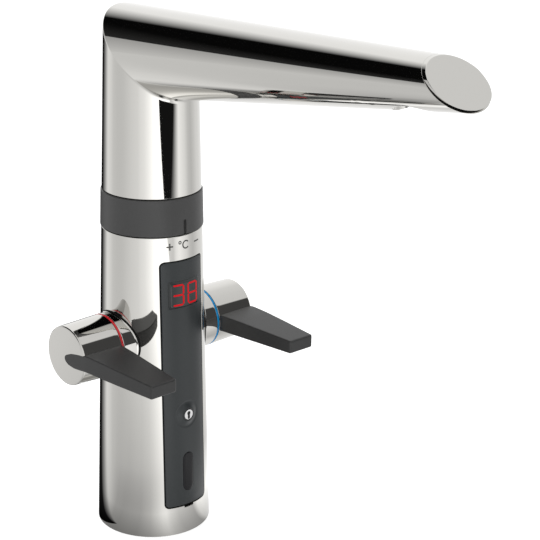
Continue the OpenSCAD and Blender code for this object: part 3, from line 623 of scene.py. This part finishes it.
def arm_place(x, s):
    """Angle and v of the place on the arm's underside that lies x aside and s along the axis. The angle and
    the share of the line are found in turn, each from the other, until both settle."""
    turn = np.arccos(x / 18)
    for _ in range(30):
        _, corner, past = spout_lines(turn, 0)
        start, reach = (corner - SPOUT_O) @ FLAT, (past - SPOUT_O) @ FLAT
        share = (s - start) / (reach - start)
        wide = (corner[:, 0] * (1 - share) + past[:, 0] * share) / np.cos(turn + 1e-9)
        turn = np.arccos(np.clip(x / wide, -1, 1))
    _, _, corner, after, end = spout_parts(turn, 0, PLATE_ROOM)
    point = corner + (spout_lines(turn, 0)[2] - corner) * share[:, None]
    v = (2 - CREASE) + CREASE * ((point - after) @ FLAT) / ((end - after) @ FLAT)
    return np.degrees(turn), v


def spout_body():
    """Thin shell of tube and arm, with the aerator's hole underneath and the stop screw's hole behind."""
    foot_rim, end_rim, tube_run, arm_run = rounding(0.3, 3), rounding(0.05, 2), 60, 175
    rows = np.concatenate([foot_rim[::-1, 0] / tube_run * CREASE, np.linspace(0.09, 0.9, 10), [0.96, CREASE],
                           CREASE + np.arange(1, 6) / 6 * (2 - 2 * CREASE), [1.01, 1.03],
                           np.linspace(1.06, 1.98, 47), 2 - end_rim[:, 0] / arm_run])
    plan = Plan(SPOUT_TURNS, rows, edge_sinks(foot_rim, rows, end_rim), wrap=True)

    def on_underside(x, s):
        return arm_place(-x, s + AERATOR_S)

    def on_back(x, up):
        z = up + STOP_SCREW_Z
        turn = 2 * np.pi - np.arccos(x / column_radius(z))
        foot, before = spout_parts(turn, 0, PLATE_ROOM)[:2]
        return np.degrees(turn), CREASE * (z - foot[:, 2]) / (before - foot)[:, 2]

    aerator_hole = circles(AERATOR_R, rounding(0.25, 3), on_underside)
    plan.hole((33.75, 146.25, 1.72, 1.94), aerator_hole, between=(0.3, 0.6, 0.85))
    plan.hole((257.5, 282.5, 0.09, 0.45), circles(STOP_SCREW_R, rounding(0.2, 2), on_back))
    return shell(plan, on_spout(0), on_spout(SPOUT_WALL), exact=True)


piece("spout_body", spout_body(), "spout", "chrome", ["spout_shell"], sharp=40)


def section(back, inset, scale=1.0):
    """The spout's section at some depth behind its end plane, drawn in by an inset and then scaled."""
    rim = spout_parts(np.radians(SPOUT_TURNS), inset, back)[4]
    middle = rim.mean(axis=0)
    return middle + (rim - middle) * scale


# How far each place of the mouth's rim counts as below: 0 over its upper part, 1 at the bottom
BELOW = np.sqrt(np.clip(0.25 + 0.75 * np.sin(np.radians(SPOUT_TURNS)), 0, 1))


def end_cap():
    """Oblique oval plate with a rounded rim and a plug behind it. It is full at the top, and thinner and
    smaller than the spout's mouth towards the bottom."""
    back, inset = 1.36 - 0.9 * BELOW, 0.05 + 1.15 * BELOW
    rows = [section(4, 1.75), section(back + 0.05, 1.75), section(back, inset)]
    rows += [section(sink, inset + a) for a, sink in rounding(0.15, 4)[::-1]]
    rows += [section(0, inset + 0.15, scale) for scale in (0.97, 0.8, 0.5, 0.1)]
    return tube(np.array(rows))


def end_gap_shade():
    """Black ring between plate and spout: painted shade of the gap that shows as a dark line below the
    plate.
    """
    front, inset = 1.38 - 0.15 * BELOW, 0.08 + 0.72 * BELOW
    rows = [section(front, 1.74), section(front, inset), section(1.39, inset), section(1.39, 1.74)]
    return hollow(rows)


def aerator_sleeve():
    """Lining of the aerator's recess, from the aerator ring down to the arm's underside."""
    rows = []
    for radius in (11.97, 11.6):
        x, s = radius * np.cos(ROUND), AERATOR_S + radius * np.sin(ROUND)
        high = SPOUT_O + s[:, None] * FLAT - AERATOR_RING_TOP * ACROSS_UP + x[:, None] * ASIDE
        rows.append([high, on_spout(0)(*arm_place(x, s), 0.2)])
    return hollow(rows[0] + rows[1][::-1])


piece("spout_end_plate", end_cap(), "spout", "chrome", ["spout_end_cap"])
piece("spout_end_gap_shade", end_gap_shade(), "spout", "seal_rubber")
piece("aerator_recess_sleeve", aerator_sleeve(), "spout", "chrome")


# Handles


def hoop(along, radius):
    """Circle about the handle's axis, some way along it from the column's axis."""
    return stacked(along, radius * np.cos(ROUND), HANDLE_Z + radius * np.sin(ROUND))


def saddle(radius, clear):
    """Circle about the handle's axis laid on the column's cone, some way clear of it."""
    y, z = radius * np.cos(ROUND), HANDLE_Z + radius * np.sin(ROUND)
    return stacked(np.sqrt((column_radius(z) + clear) ** 2 - y ** 2), y, z)


def collar(side):
    """Collar between column and coloured ring. Its inner end follows the column's cone."""
    flange = [(12.0, 0.4), (HUB_R + 0.25, 0.4), (HUB_R + 0.4, 0.55), (HUB_R + 0.4, 0.7), (HUB_R + 0.25, 0.9),
              (HUB_R + 0.05, 1.0)]
    profile = [(28.4, HUB_R + 0.05)]
    profile += [(COLLAR_X - inset, HUB_R - sink) for inset, sink in rounding(0.25, 3)]
    profile += [(COLLAR_X, 13), (RING_X, 13), (RING_X, 11.9), (27.1, 11.9)]
    return hollow([saddle(*row) for row in flange] + [hoop(*row) for row in profile], side)


def collar_gap_shade(side):
    """Thin black ring between the column and the collar's saddle: painted shade of the gap there."""
    rows = [(12.0, 0.04), (HUB_R + 0.85, 0.04), (HUB_R + 0.85, 0.38), (12.0, 0.38)]
    return hollow([saddle(*row) for row in rows], side)


def colour_ring(side):
    """Enamelled ring with softened rims."""
    rim = [(0.18, 0.0), (0.05, 0.05), (0.0, 0.18)]
    outer = HUB_R + 0.03
    profile = [(COLLAR_X + 0.02, 13.04)] + [(COLLAR_X + 0.02 + a, outer - b) for a, b in rim[::-1]]
    profile += [(RING_X - a, outer - b) for a, b in rim] + [(RING_X, 13.04)]
    return hollow([hoop(*row) for row in profile], side)


def hub(side):
    """Hub that narrows outwards, with a rounded end and a blind hole for the set screw at the back."""
    taper = (HUB_R - HUB_END_R) / (HUB_X1 - HUB_ROUNDING - HUB_X0)
    flank = (33, 36, 38, 39.6, 41.2, 43.2, 46, 49, 51, HUB_X1 - 0.9)
    lines = [(HUB_X0, 4.4), (HUB_X0, 9), (HUB_X0, HUB_R - 0.3), (HUB_X0 + 0.09, HUB_R - 0.09)]
    lines += [(HUB_X0 + 0.3, HUB_R)] + [(x, HUB_R - taper * (x - HUB_X0)) for x in flank]
    lines += [(HUB_X1 - sink, HUB_END_R - inset) for inset, sink in rounding(HUB_ROUNDING, 6)[::-1]]
    lines += [(HUB_X1, 12.5), (HUB_X1, 8), (HUB_X1, 2)]
    along, radius = np.array(lines).T
    plan = Plan(np.degrees(ROUND), np.arange(len(lines)), wrap=True)
    radius_there = 14.8
    screw_rows = [(0.15, 0.0), (0.04, 0.04), (0.0, 0.15), (0.0, 1.2)]

    def on_hub(aside, out):
        row = np.interp(HUB_SCREW_X + out, along[4:15], np.arange(4, 15))
        return 90 + np.degrees(np.arcsin(aside / radius_there)), row

    plan.hole((80, 100, 6, 10), circles(HUB_SCREW_R, screw_rows, on_hub), floor=True)
    turn, row, sink = plan.points.T
    reach = np.interp(row, np.arange(len(lines)), along)
    size = np.interp(row, np.arange(len(lines)), radius) - sink
    angle = np.radians(turn)
    points = stacked(side * reach, size * np.sin(angle), HANDLE_Z + size * np.cos(angle))
    caps = plan.caps + [plan.number[0, :-1][::-1], plan.number[-1, :-1]]
    faces = [plan.quads()] + [np.array([c]) for c in caps]
    return trimmed(points, faces)


# Side lines of the lever, as (y, height), and its plan lines, as (y, x)
LEVER_TOP = np.array([(1.1, -1.2), (0.9, -0.3), (0.2, 0.4), (-1.2, 1.1), (-4.1, 2.3), (-9.6, 3.4),
                      (-16.2, 4.5), (-26, 4.4), (-LEVER_REACH - 1, TIP_T / 2 - 0.3)])[::-1]
LEVER_BOTTOM = np.array([(1.1, -1.2), (0.9, -2.2), (0.2, -3), (-1.7, -4), (-5.9, -4.5), (-10.8, -4.2),
                         (-14.9, -3.8), (-26, -3.8), (-LEVER_REACH - 1, -TIP_T / 2 - 0.3)])[::-1]
LEVER_INNER = np.array([(1.2, 46.4), (-6.2, 46.4), (-7.2, 30.7), (-13, 30.72), (-16, 30.9), (-38, 33.2),
                        (-LEVER_REACH, TIP_X)])[::-1]
LEVER_OUTER = np.array([(1.2, 52.56), (-15, 52.56), (-24, 52.3), (-38, 51.6), (-LEVER_REACH, 50.1)])[::-1]


def softened(y, corners, spread):
    """Height of a bent line at y, averaged over a little way to both sides, so that its bends are soft."""
    shifts = np.linspace(-1, 1, 9)[:, None] * spread
    return np.interp(y + shifts, corners[:, 0], corners[:, 1]).mean(axis=0)


def lever(side):
    """Flat lever: rounded rectangles between its two plan lines and its two side lines. Its edges are
    almost sharp at the hub and rounder outside, and its tip is slightly bowed."""
    round_tip = rounding(0.8, 4)
    y = np.concatenate([[1.08, 1.0, 0.8, 0.5, 0, -0.7, -1.6, -2.6, -4, -5.4, -6.2, -7.2],
                        np.arange(-8.5, -60, -1.15), -LEVER_REACH + round_tip[:, 0]])
    pull = np.concatenate([np.zeros(len(y) - len(round_tip)), round_tip[:, 1]])
    spread = 0.05 + 1.5 * np.clip((-y - 10) / 6, 0, 1)
    top = softened(y, LEVER_TOP, spread) - pull
    bottom = softened(y, LEVER_BOTTOM, spread) + pull
    inner = np.interp(y, LEVER_INNER[:, 0], LEVER_INNER[:, 1]) + pull
    outer = np.interp(y, LEVER_OUTER[:, 0], LEVER_OUTER[:, 1]) - pull
    radius = np.minimum(0.12 + 0.55 * np.clip((-y - 8) / 10, 0, 1), (top - bottom) * 0.3)
    y, top, bottom, inner, outer, radius = (row[:, None] for row in (y, top, bottom, inner, outer, radius))
    corners = []
    for out, over, start in [(1, 1, 0), (-1, 1, 90), (-1, -1, 180), (1, -1, 270)]:
        turn = np.radians(np.linspace(start, start + 90, 6))
        x = (inner + outer) / 2 + out * ((outer - inner) / 2 - radius) + radius * np.cos(turn)
        z = (top + bottom) / 2 + over * ((top - bottom) / 2 - radius) + radius * np.sin(turn)
        corners.append(stacked(x, z))
    x, z = np.concatenate(corners, axis=1).transpose(2, 0, 1)
    beside_middle = (x - TIP_X - TIP_W / 2) / (TIP_W / 2)
    bow = 0.5 * np.clip(1 - beside_middle ** 2, 0, 1) * np.clip((-y - 50) / 10, 0, 1)
    points = stacked(side * x, y - bow, HANDLE_Z + z)
    return tube(points)


for side, hand, paint in ((-1, "hot", "red_enamel"), (1, "cold", "blue_enamel")):
    piece(f"{hand}_collar_turned", collar(side), "base", "chrome", [f"{hand}_collar"])
    piece(f"{hand}_collar_gap_shade", collar_gap_shade(side), "base", "seal_rubber")
    piece(f"{hand}_ring_enamelled", colour_ring(side), "base", paint, [f"{hand}_ring"], sharp=50)
    piece(f"{hand}_hub_turned", hub(side), f"{hand}_handle", "chrome", [f"{hand}_hub"])
    piece(f"{hand}_lever_bar", lever(side), f"{hand}_handle", "dark_lever", [f"{hand}_lever"], sharp=40)


# Front panel


def front_panel():
    """Curved plate with openings for the display, the button and the lens. The button's finger dish, as
    radius and depth, has a soft lip, a slight trough, and a boss that rises round the button's hole."""
    xs = np.array([-10, -8.5, -6.8, -5.1, -3.4, -1.7, 0, 1.7, 3.4, 5.1, 6.8, 8.5, 10])
    z_low, z_high = PANEL_Z + 2.7, PANEL_Z + PANEL_H - 2.7
    zs = np.concatenate([[z_low], np.arange(19.5, 46, 2.2), [49], np.linspace(54.6, 71.4, 13),
                         np.arange(76, 114, 5.5), np.linspace(117.7, 132.5, 9), [135.8, z_high]])
    edge = [(-1.1, 0)] + [(-0.3 - inset, sink) for inset, sink in rounding(0.35, 4)]
    dish = [(7.25, 0), (7.0, 0.04), (6.8, 0.12), (6.5, 0.2), (6.1, 0.18), (5.6, 0.06), (5.1, -0.12),
            (4.6, -0.33), (4.1, -0.53), (3.7, -0.68), (3.38, -0.76)]
    window_w, window_h = WINDOW_W + 2 * WINDOW_FOOT, WINDOW_H + 2 * WINDOW_FOOT
    plan = Plan(xs, zs)
    plan.border(outlines(PANEL_W, PANEL_H, PANEL_R, edge, about(PANEL_MID)))
    window = outlines(window_w, window_h, 0.6, rounding(0.1, 2), about(DISPLAY_Z))
    plan.hole((-10, 10, 117.7, 132.5), window, between=())
    plan.hole((-8.5, 8.5, 54.6, 71.4), circles(0, dish, about(BUTTON_Z)))
    opening = outlines(LENS_W, LENS_H, LENS_W / 2, rounding(0.15, 2), about(LENS_Z))
    plan.hole((-5.1, 5.1, 19.5, 45.9), opening)
    return shell(plan, on_front(), on_front(PANEL_T))


def display_window():
    """Smoked window: flush foot, then sloping sides up to a face that stands proud."""
    zs = np.linspace(DISPLAY_Z - 5.4, DISPLAY_Z + 5.4, 9)
    plan = Plan(np.linspace(-7.6, 7.6, 13), zs, -WINDOW_PROUD)
    sides = [(0.0, -WINDOW_PROUD), (0.1, -0.77), (0.98, 0.02), (1.03, 0.1)]
    plan.border(outlines(WINDOW_W, WINDOW_H, 0.4, sides, about(DISPLAY_Z), soften=0.2))
    return shell(plan, on_front(), on_front(PANEL_T))


def lens():
    """Long round-ended lens with a crowned face."""
    plan = Plan(np.linspace(-1.6, 1.6, 9), np.linspace(LENS_Z - 8, LENS_Z + 8, 17), -0.3)
    crown = [(-1.1, -0.29), (-0.6, -0.25), (-0.3, -0.18), (-0.12, -0.08), (-0.02, 0.06), (0.0, 0.2)]
    w, h = LENS_W - 0.1, LENS_H - 0.1
    plan.border(outlines(w, h, w / 2, crown, about(LENS_Z)))
    return shell(plan, on_front(), on_front(PANEL_T))


piece("front_panel_plate", front_panel(), "base", "panel_dark", ["front_panel"])
piece("display_window_pane", display_window(), "base", "window_smoke", ["display_window"], sharp=25)

DIGIT_W, BAR_T, BAR_ROOM = DIGIT_H * 0.595, DIGIT_H * 0.083, DIGIT_H * 0.085


def segment(x, z, length, upright):
    """Lit bar with pointed ends, laid on the window."""
    at = np.array([-1, -1 + BAR_T / length, -0.5, 0, 0.5, 1 - BAR_T / length, 1]) * length / 2
    half = np.array([0.12, 1, 1, 1, 1, 1, 0.12]) * BAR_T / 2
    run = stacked(x, at + z) if upright else stacked(at + x, z)
    return stroke(run, half, low=-0.6, proud=WINDOW_PROUD + 0.04)


def digits():
    """38 in seven segments: the 3 leaves out both left bars, the 8 lights all."""
    level, upright = DIGIT_W - 1.3 * BAR_ROOM, (DIGIT_H - BAR_ROOM) / 2 - 0.3 * BAR_ROOM
    aside, rise = (DIGIT_W - BAR_ROOM) / 2, (DIGIT_H - BAR_ROOM) / 4
    three = [(0, height, level, False) for height in (2 * rise, 0, -2 * rise)]
    three += [(aside, height, upright, True) for height in (rise, -rise)]
    eight = three + [(-aside, height, upright, True) for height in (rise, -rise)]
    shapes = [segment(x - DIGIT_H * 0.42, z + DISPLAY_Z, *bar) for x, z, *bar in three]
    shapes += [segment(x + DIGIT_H * 0.345, z + DISPLAY_Z, *bar) for x, z, *bar in eight]
    return joined(shapes)


piece("display_digits_lit", digits(), "base", "digit_red", ["display_digits"])
piece("sensor_lens_crowned", lens(), "base", "lens_black", ["sensor_lens"])

BUTTON_FRONT = column_radius(BUTTON_Z) + 1


def turned_to_front(profile):
    """Turned piece on the button's axis: rows of (depth under the button's front, radius), flat ends."""
    depth, radius = np.array(profile, float).T
    x, z = radius[:, None] * np.cos(ROUND), BUTTON_Z + radius[:, None] * np.sin(ROUND)
    return tube(stacked(x, depth[:, None] - BUTTON_FRONT, z))


def button_sign():
    """Sign on the button: a round head over a short stem, both thin and flat."""
    shapes = []
    head = rounded_loop(2.0, 2.0, 1.0, 16, 16) + [0, 0.75]
    stem = rounded_loop(1.3, 2.2, 0.2, 12, 12) + [0, -1.1]
    for outline in (head, stem):
        low = np.insert(outline + [0, BUTTON_Z], 1, 0.02 - BUTTON_FRONT, axis=1)
        shapes.append(tube(np.stack([low, low - [0, 0.04, 0]])))
    return joined(shapes)


flange = [(BUTTON_FRONT - 20.05, 4.3), (BUTTON_FRONT - 21.55, 4.3), (BUTTON_FRONT - 21.6, BUTTON_R)]
cap = flange + [(0.3, BUTTON_R), (0.08, 3.12), (0.02, 3.02), (0, 2.97), (0.3, 2.95), (0.5, 2.72)]
# Black ring round the button's face: painted shade standing for the groove between cap and face
rim = [(0.3, 2.55), (0.3, 2.94), (0.05, 2.94), (0.05, 2.55)]
face = [(0.5, 2.54), (0.1, 2.54), (0.03, 2.5), (0, 2.4), (0, 1.2)]
piece("button_cap_turned", turned_to_front(cap), "button", "button_dark", ["button_cap"])
piece("button_groove_shade", turned_to_front(rim), "button", "black_plastic")
piece("button_face_disc", turned_to_front(face), "button", "button_pale", ["button_disc"])
piece("button_sign_print", button_sign(), "button", "black_plastic")


# Studio


def eased(value, start, end, low=0.0, high=1.0):
    """An amount that runs from low at start to high at end, and stays there."""
    limits = {"Value": value, "From Min": start, "From Max": end, "To Min": low, "To Max": high}
    return Amount(node(value.tree, "MapRange", limits).outputs[0])


def brightness(value, stops):
    """Brightness up to 2 at a place, straight between the stops (place, brightness)."""
    first, last = stops[0][0], stops[-1][0]
    ramp = node(value.tree, "ValToRGB", {"Fac": eased(value, first, last)})
    steps = ramp.color_ramp.elements
    while len(steps) < len(stops):
        steps.new(0.5)
    for step, (place, level) in zip(steps, stops):
        step.position = (place - first) / (last - first)
        step.color = (level / 2, level / 2, level / 2, 1)
    return Amount(ramp.outputs[0]) * 2.0


def blend(before, after, share):
    """One brightness that gives way to another by a share."""
    return before * (1.0 - share) + share * after


def heading_of(x, y, start=0.0):
    """Heading in degrees from the back towards the cold side, once round from start."""
    turn = x.math("ARCTAN2", y) * (180 / np.pi)
    return (turn - start).math("FLOORED_MODULO", 360.0) + start


def coordinates(tree, output):
    """x, y and z of one output of the texture coordinates."""
    apart = node(tree, "SeparateXYZ", {0: node(tree, "TexCoord").outputs[output]})
    return [Amount(socket) for socket in apart.outputs]


def emptied(holder):
    """The node tree of a new material or world, with nothing in it."""
    holder.use_nodes = True
    holder.node_tree.nodes.clear()
    return holder.node_tree


def show(tree, camera, plain, metal, end):
    """Ends a tree: what the camera sees, what lights plain surfaces, and what shiny and clear ones show."""
    path = node(tree, "LightPath").outputs
    by_metal = Amount(path["Is Glossy Ray"]).math("MAXIMUM", Amount(path["Is Transmission Ray"]))
    first = node(tree, "MixShader", {0: path["Is Camera Ray"], 1: plain.outputs[0], 2: camera.outputs[0]})
    both = node(tree, "MixShader", {0: by_metal, 1: first.outputs[0], 2: metal.outputs[0]})
    node(tree, end, {"Surface": both.outputs[0]})


# Painted light on the floor for metal, by heading: white to the cold side, shaded pale grey behind the hot
# side
FLOOR_LIGHT_BY_HEADING = [(0, 0.8), (35, 0.8), (50, 1.1), (75, 1.0), (95, 0.95), (117, 0.72), (127, 0.8),
                    (137, 1.05), (157, 1.35), (165, 1.2), (172, 0.9), (187, 1.0), (245, 1.05), (265, 0.95),
                    (285, 0.82), (292, 0.8), (360, 0.8)]
# Painted shadow: darker close to the foot, by distance in metres, more so in front, which lies in shade
BACK_SHADOW_BY_DISTANCE = [(0.05, 0.65), (0.075, 0.79), (0.1, 0.87), (0.125, 0.91), (0.19, 0.96), (0.3, 1.0)]
FRONT_SHADOW_BY_DISTANCE = [(0.05, 0.45), (0.085, 0.62), (0.125, 0.73), (0.17, 0.8), (0.22, 0.87), (0.35, 1.0)]
# Painted light and shade closest to the foot, by heading
FOOT_LIGHT_AND_SHADE_BY_HEADING = [(130, 1.5), (142, 1.35), (152, 0.7), (180, 0.84), (193, 1.08), (200, 1.27), (206, 1.2),
                   (212, 1.02), (224, 0.72), (240, 0.53), (270, 0.46), (285, 0.5), (300, 0.72), (310, 0.85),
                   (340, 1.0)]
FOOT_FROM, FOOT_TO = 0.055, 0.11
# Bright edge and dark strip behind, by heading about a place 35 mm to the hot side
HOT_PLACE = 0.035
EDGE_BY_HEADING = [(-55, 1.0), (-42, 1.06), (-33, 1.22), (-22, 1.33), (32, 1.33), (50, 1.0)]
STRIP_BY_HEADING = [(-21, 1.0), (-16, 0.87), (-11, 0.63), (-6, 0.42), (-1, 0.27), (4, 0.14), (9, 0.012),
                    (37, 0.004), (40, 1.0)]
STRIP_TO = 1.6
# How much the camera sees the floor lifted towards white, beyond what the lamps give it
FLOOR_LIFT = 0.6
# White sheet in front of the hot side: soft towards larger headings, turned more when close, one sharp edge
SHEET_BY_HEADING = [(205, 1.0), (212, 0.8), (218, 0.62), (226, 0.38), (235, 0.17), (250, 0.0)]
SHEET_TURN, SHEET_TURN_FROM, SHEET_TURN_TO = 8.0, 0.22, 0.46
SHEET_SHARP_HEADING, SHEET_SHARP_START = 215.5, (-0.032, -0.546)
# Black sheet on its other side, from this distance on, with a soft edge along another line
BLACK_FROM, BLACK_HEADING, BLACK_START, BLACK_SOFT = 0.65, 150.0, (0.174, -0.753), (-0.16, 0.09)
BLACK_LEVEL = 0.01


def beside(x, y, heading, start):
    """Distance of a place to the left of a line that leaves start at a heading, seen from the faucet."""
    turn = np.radians(heading)
    return (x - start[0]) * float(np.cos(turn)) + (y - start[1]) * float(-np.sin(turn))


def floor_finish():
    """White floor that keeps the shadow. Metal sees it graded, with a white and a black sheet."""
    mat = bpy.data.materials.new("floor_white")
    tree = emptied(mat)
    x, y, _ = coordinates(tree, "Object")
    heading = heading_of(x, y)
    away = (x * x + y * y).math("SQRT")
    turned = heading + eased(away, SHEET_TURN_FROM, SHEET_TURN_TO, SHEET_TURN, 0.0)
    past_sharp = eased(beside(x, y, SHEET_SHARP_HEADING, SHEET_SHARP_START), -0.004, 0.004)
    sheet = brightness(turned, SHEET_BY_HEADING) * past_sharp * heading.math("GREATER_THAN", 180.0)
    pale = brightness(heading, FLOOR_LIGHT_BY_HEADING) + sheet
    in_front = eased(heading, 165, 190) * eased(heading, 265, 300, 1, 0)
    # Painted shadow of the faucet on the floor near its foot, deeper in front
    pale = pale * blend(brightness(away, BACK_SHADOW_BY_DISTANCE), brightness(away, FRONT_SHADOW_BY_DISTANCE), in_front)
    hot_heading = heading_of(x + HOT_PLACE, y, -60.0)
    pale = pale * brightness(hot_heading, EDGE_BY_HEADING)
    strip = brightness(hot_heading, STRIP_BY_HEADING)
    strip = blend(strip, 1.0, eased(away, STRIP_TO - 0.02, STRIP_TO + 0.02))
    # Painted light and shade right by the foot, darkest at the foot itself
    foot = brightness(heading, FOOT_LIGHT_AND_SHADE_BY_HEADING) * eased(away, 0.02, FOOT_FROM, 0.4)
    pale = blend(pale, foot, eased(away, FOOT_FROM, FOOT_TO, 1, 0)) * strip
    black = eased(away, BLACK_FROM - 0.01, BLACK_FROM + 0.01)
    black = black * eased(beside(x, y, BLACK_HEADING, BLACK_START), *BLACK_SOFT) * (1.0 - past_sharp)
    lit = node(tree, "BsdfDiffuse", {"Color": (0.8, 0.8, 0.8, 1)})
    white = node(tree, "Emission", {"Strength": FLOOR_LIFT})
    to_camera = node(tree, "AddShader", {0: lit.outputs[0], 1: white.outputs[0]})
    to_metal = node(tree, "Emission", {"Strength": blend(pale, BLACK_LEVEL, black)})
    show(tree, to_camera, lit, to_metal, "OutputMaterial")
    return mat


floor_mesh = bpy.data.meshes.new("studio_floor")
floor_mesh.from_pydata([(-8, -8, 0), (8, -8, 0), (8, 8, 0), (-8, 8, 0)], [], [(0, 1, 2, 3)])
floor_mesh.materials.append(floor_finish())
studio_floor = added("studio_floor", floor_mesh)

# Walls as the metal shows them, by heading: white behind the cold side, grey behind the hot side
WALL_BY_HEADING = [(0, 1.1), (20, 1.16), (48, 1.16), (66, 0.98), (100, 0.91), (125, 0.87), (160, 0.95),
                   (220, 0.95), (260, 0.85), (300, 0.78), (350, 0.78), (360, 1.1)]
# Black card high on the hot side: its lower edge rises as the tangent of its elevation, its ends are soft
HIGH_CARD_EDGE, HIGH_CARD_SOFT, HIGH_CARD_END, HIGH_CARD_TOP = 0.47, (2, 27), (245, 255), (0.9, 0.94)
# The card is a little brighter along its lower edge than higher up
HIGH_CARD_LEVELS = (0.05, 0.2, 0.025, 0.003)
# Towards its hot end the card starts at this elevation, from the first heading down
HIGH_CARD_STEP, HIGH_CARD_HOT = (295, 312), 25.0
# Black card low on the cold side: its upper edge climbs one degree for each degree of heading
LOW_CARD_FROM, LOW_CARD_TO, LOW_CARD_CORNER, LOW_CARD_LEVEL = 118, 158, (129, 30), 0.07
# Strength of the even light on plain surfaces
PLAIN_LIGHT = 0.55


def studio_world():
    """Plain soft light, white for the camera; the metal sees pale walls and two black cards."""
    world = bpy.data.worlds.new("studio")
    tree = emptied(world)
    x, y, z = coordinates(tree, "Generated")
    heading = heading_of(x, y)
    elevation = z.math("ARCSINE") * (180 / np.pi)
    hot_side = heading.math("GREATER_THAN", 270.0)
    walls = brightness(heading, WALL_BY_HEADING) * (1.0 - z * hot_side)
    over_edge = z - y * HIGH_CARD_EDGE
    cold_end = heading.math("LESS_THAN", 90.0) * eased(heading, *HIGH_CARD_SOFT, 1, 0)
    over_step = elevation - eased(heading, *HIGH_CARD_STEP, HIGH_CARD_HOT, 0)
    round_end = eased(heading, *HIGH_CARD_END) * eased(over_step, -1.5, 1.5)
    high_card = eased(over_edge, -0.003, 0.003) * (round_end + cold_end) * eased(z, *HIGH_CARD_TOP, 1, 0)
    shown = blend(walls, eased(over_edge, *HIGH_CARD_LEVELS), high_card)
    over_slope = elevation - (heading - (LOW_CARD_CORNER[0] - LOW_CARD_CORNER[1]))
    low_card = eased(over_slope, -2, 2, 1, 0) * eased(heading, LOW_CARD_FROM - 2, LOW_CARD_FROM)
    low_card = low_card * eased(heading, LOW_CARD_TO, LOW_CARD_TO + 2, 1, 0)
    levels = (1.0, PLAIN_LIGHT, blend(shown, LOW_CARD_LEVEL, low_card))
    show(tree, *[node(tree, "Background", {"Strength": level, "Color": (1, 1, 1, 1)}) for level in levels],
         "OutputWorld")
    return world


bpy.context.scene.world = studio_world()


def soft_lamp(name, place, aim, width, height, power):
    """Rectangular soft lamp at place that looks at aim, in metres."""
    data = bpy.data.lights.new(name, "AREA")
    data.shape, data.size, data.size_y, data.energy = "RECTANGLE", width, height, power
    lamp = added(name, data)
    lamp.location = place
    lamp.rotation_euler = (Vector(aim) - Vector(place)).to_track_quat("-Z", "Y").to_euler()
    lamp.visible_camera, lamp.visible_glossy = False, False


soft_lamp("lamp_over", (0.1, 0.4, 1.6), (0, 0, 0.1), 1.6, 1.2, 14)
soft_lamp("lamp_left", (-1.3, -0.9, 0.9), (0, 0, 0.12), 0.8, 0.8, 4)

# Camera, from the photograph's viewpoint: where it stands, and its heading, fall and roll
CAMERA_AT = (-0.49071, -0.60720, 0.39889)
HEADING, FALL, ROLL = 0.7529, 0.3312, 0.0168
FOCAL_PIXELS, PICTURE_PIXELS, SENSOR_MM = 1697.69, 540, 36
look = np.array([np.sin(HEADING) * np.cos(FALL), np.cos(HEADING) * np.cos(FALL), -np.sin(FALL)])
right = np.array([np.cos(HEADING), -np.sin(HEADING), 0])
up = np.cross(right, look)
right, up = right * np.cos(ROLL) + up * np.sin(ROLL), up * np.cos(ROLL) - right * np.sin(ROLL)
camera_data = bpy.data.cameras.new("photo_camera")
camera_data.sensor_width = SENSOR_MM
camera_data.lens = FOCAL_PIXELS / PICTURE_PIXELS * SENSOR_MM
camera_data.clip_start = 0.01
photo_camera = added("photo_camera", camera_data)
placed = np.column_stack([right, up, -look, CAMERA_AT])
photo_camera.matrix_world = Matrix([*placed.tolist(), [0, 0, 0, 1]])
bpy.context.scene.camera = photo_camera
bpy.context.scene.view_settings.view_transform = "Standard"
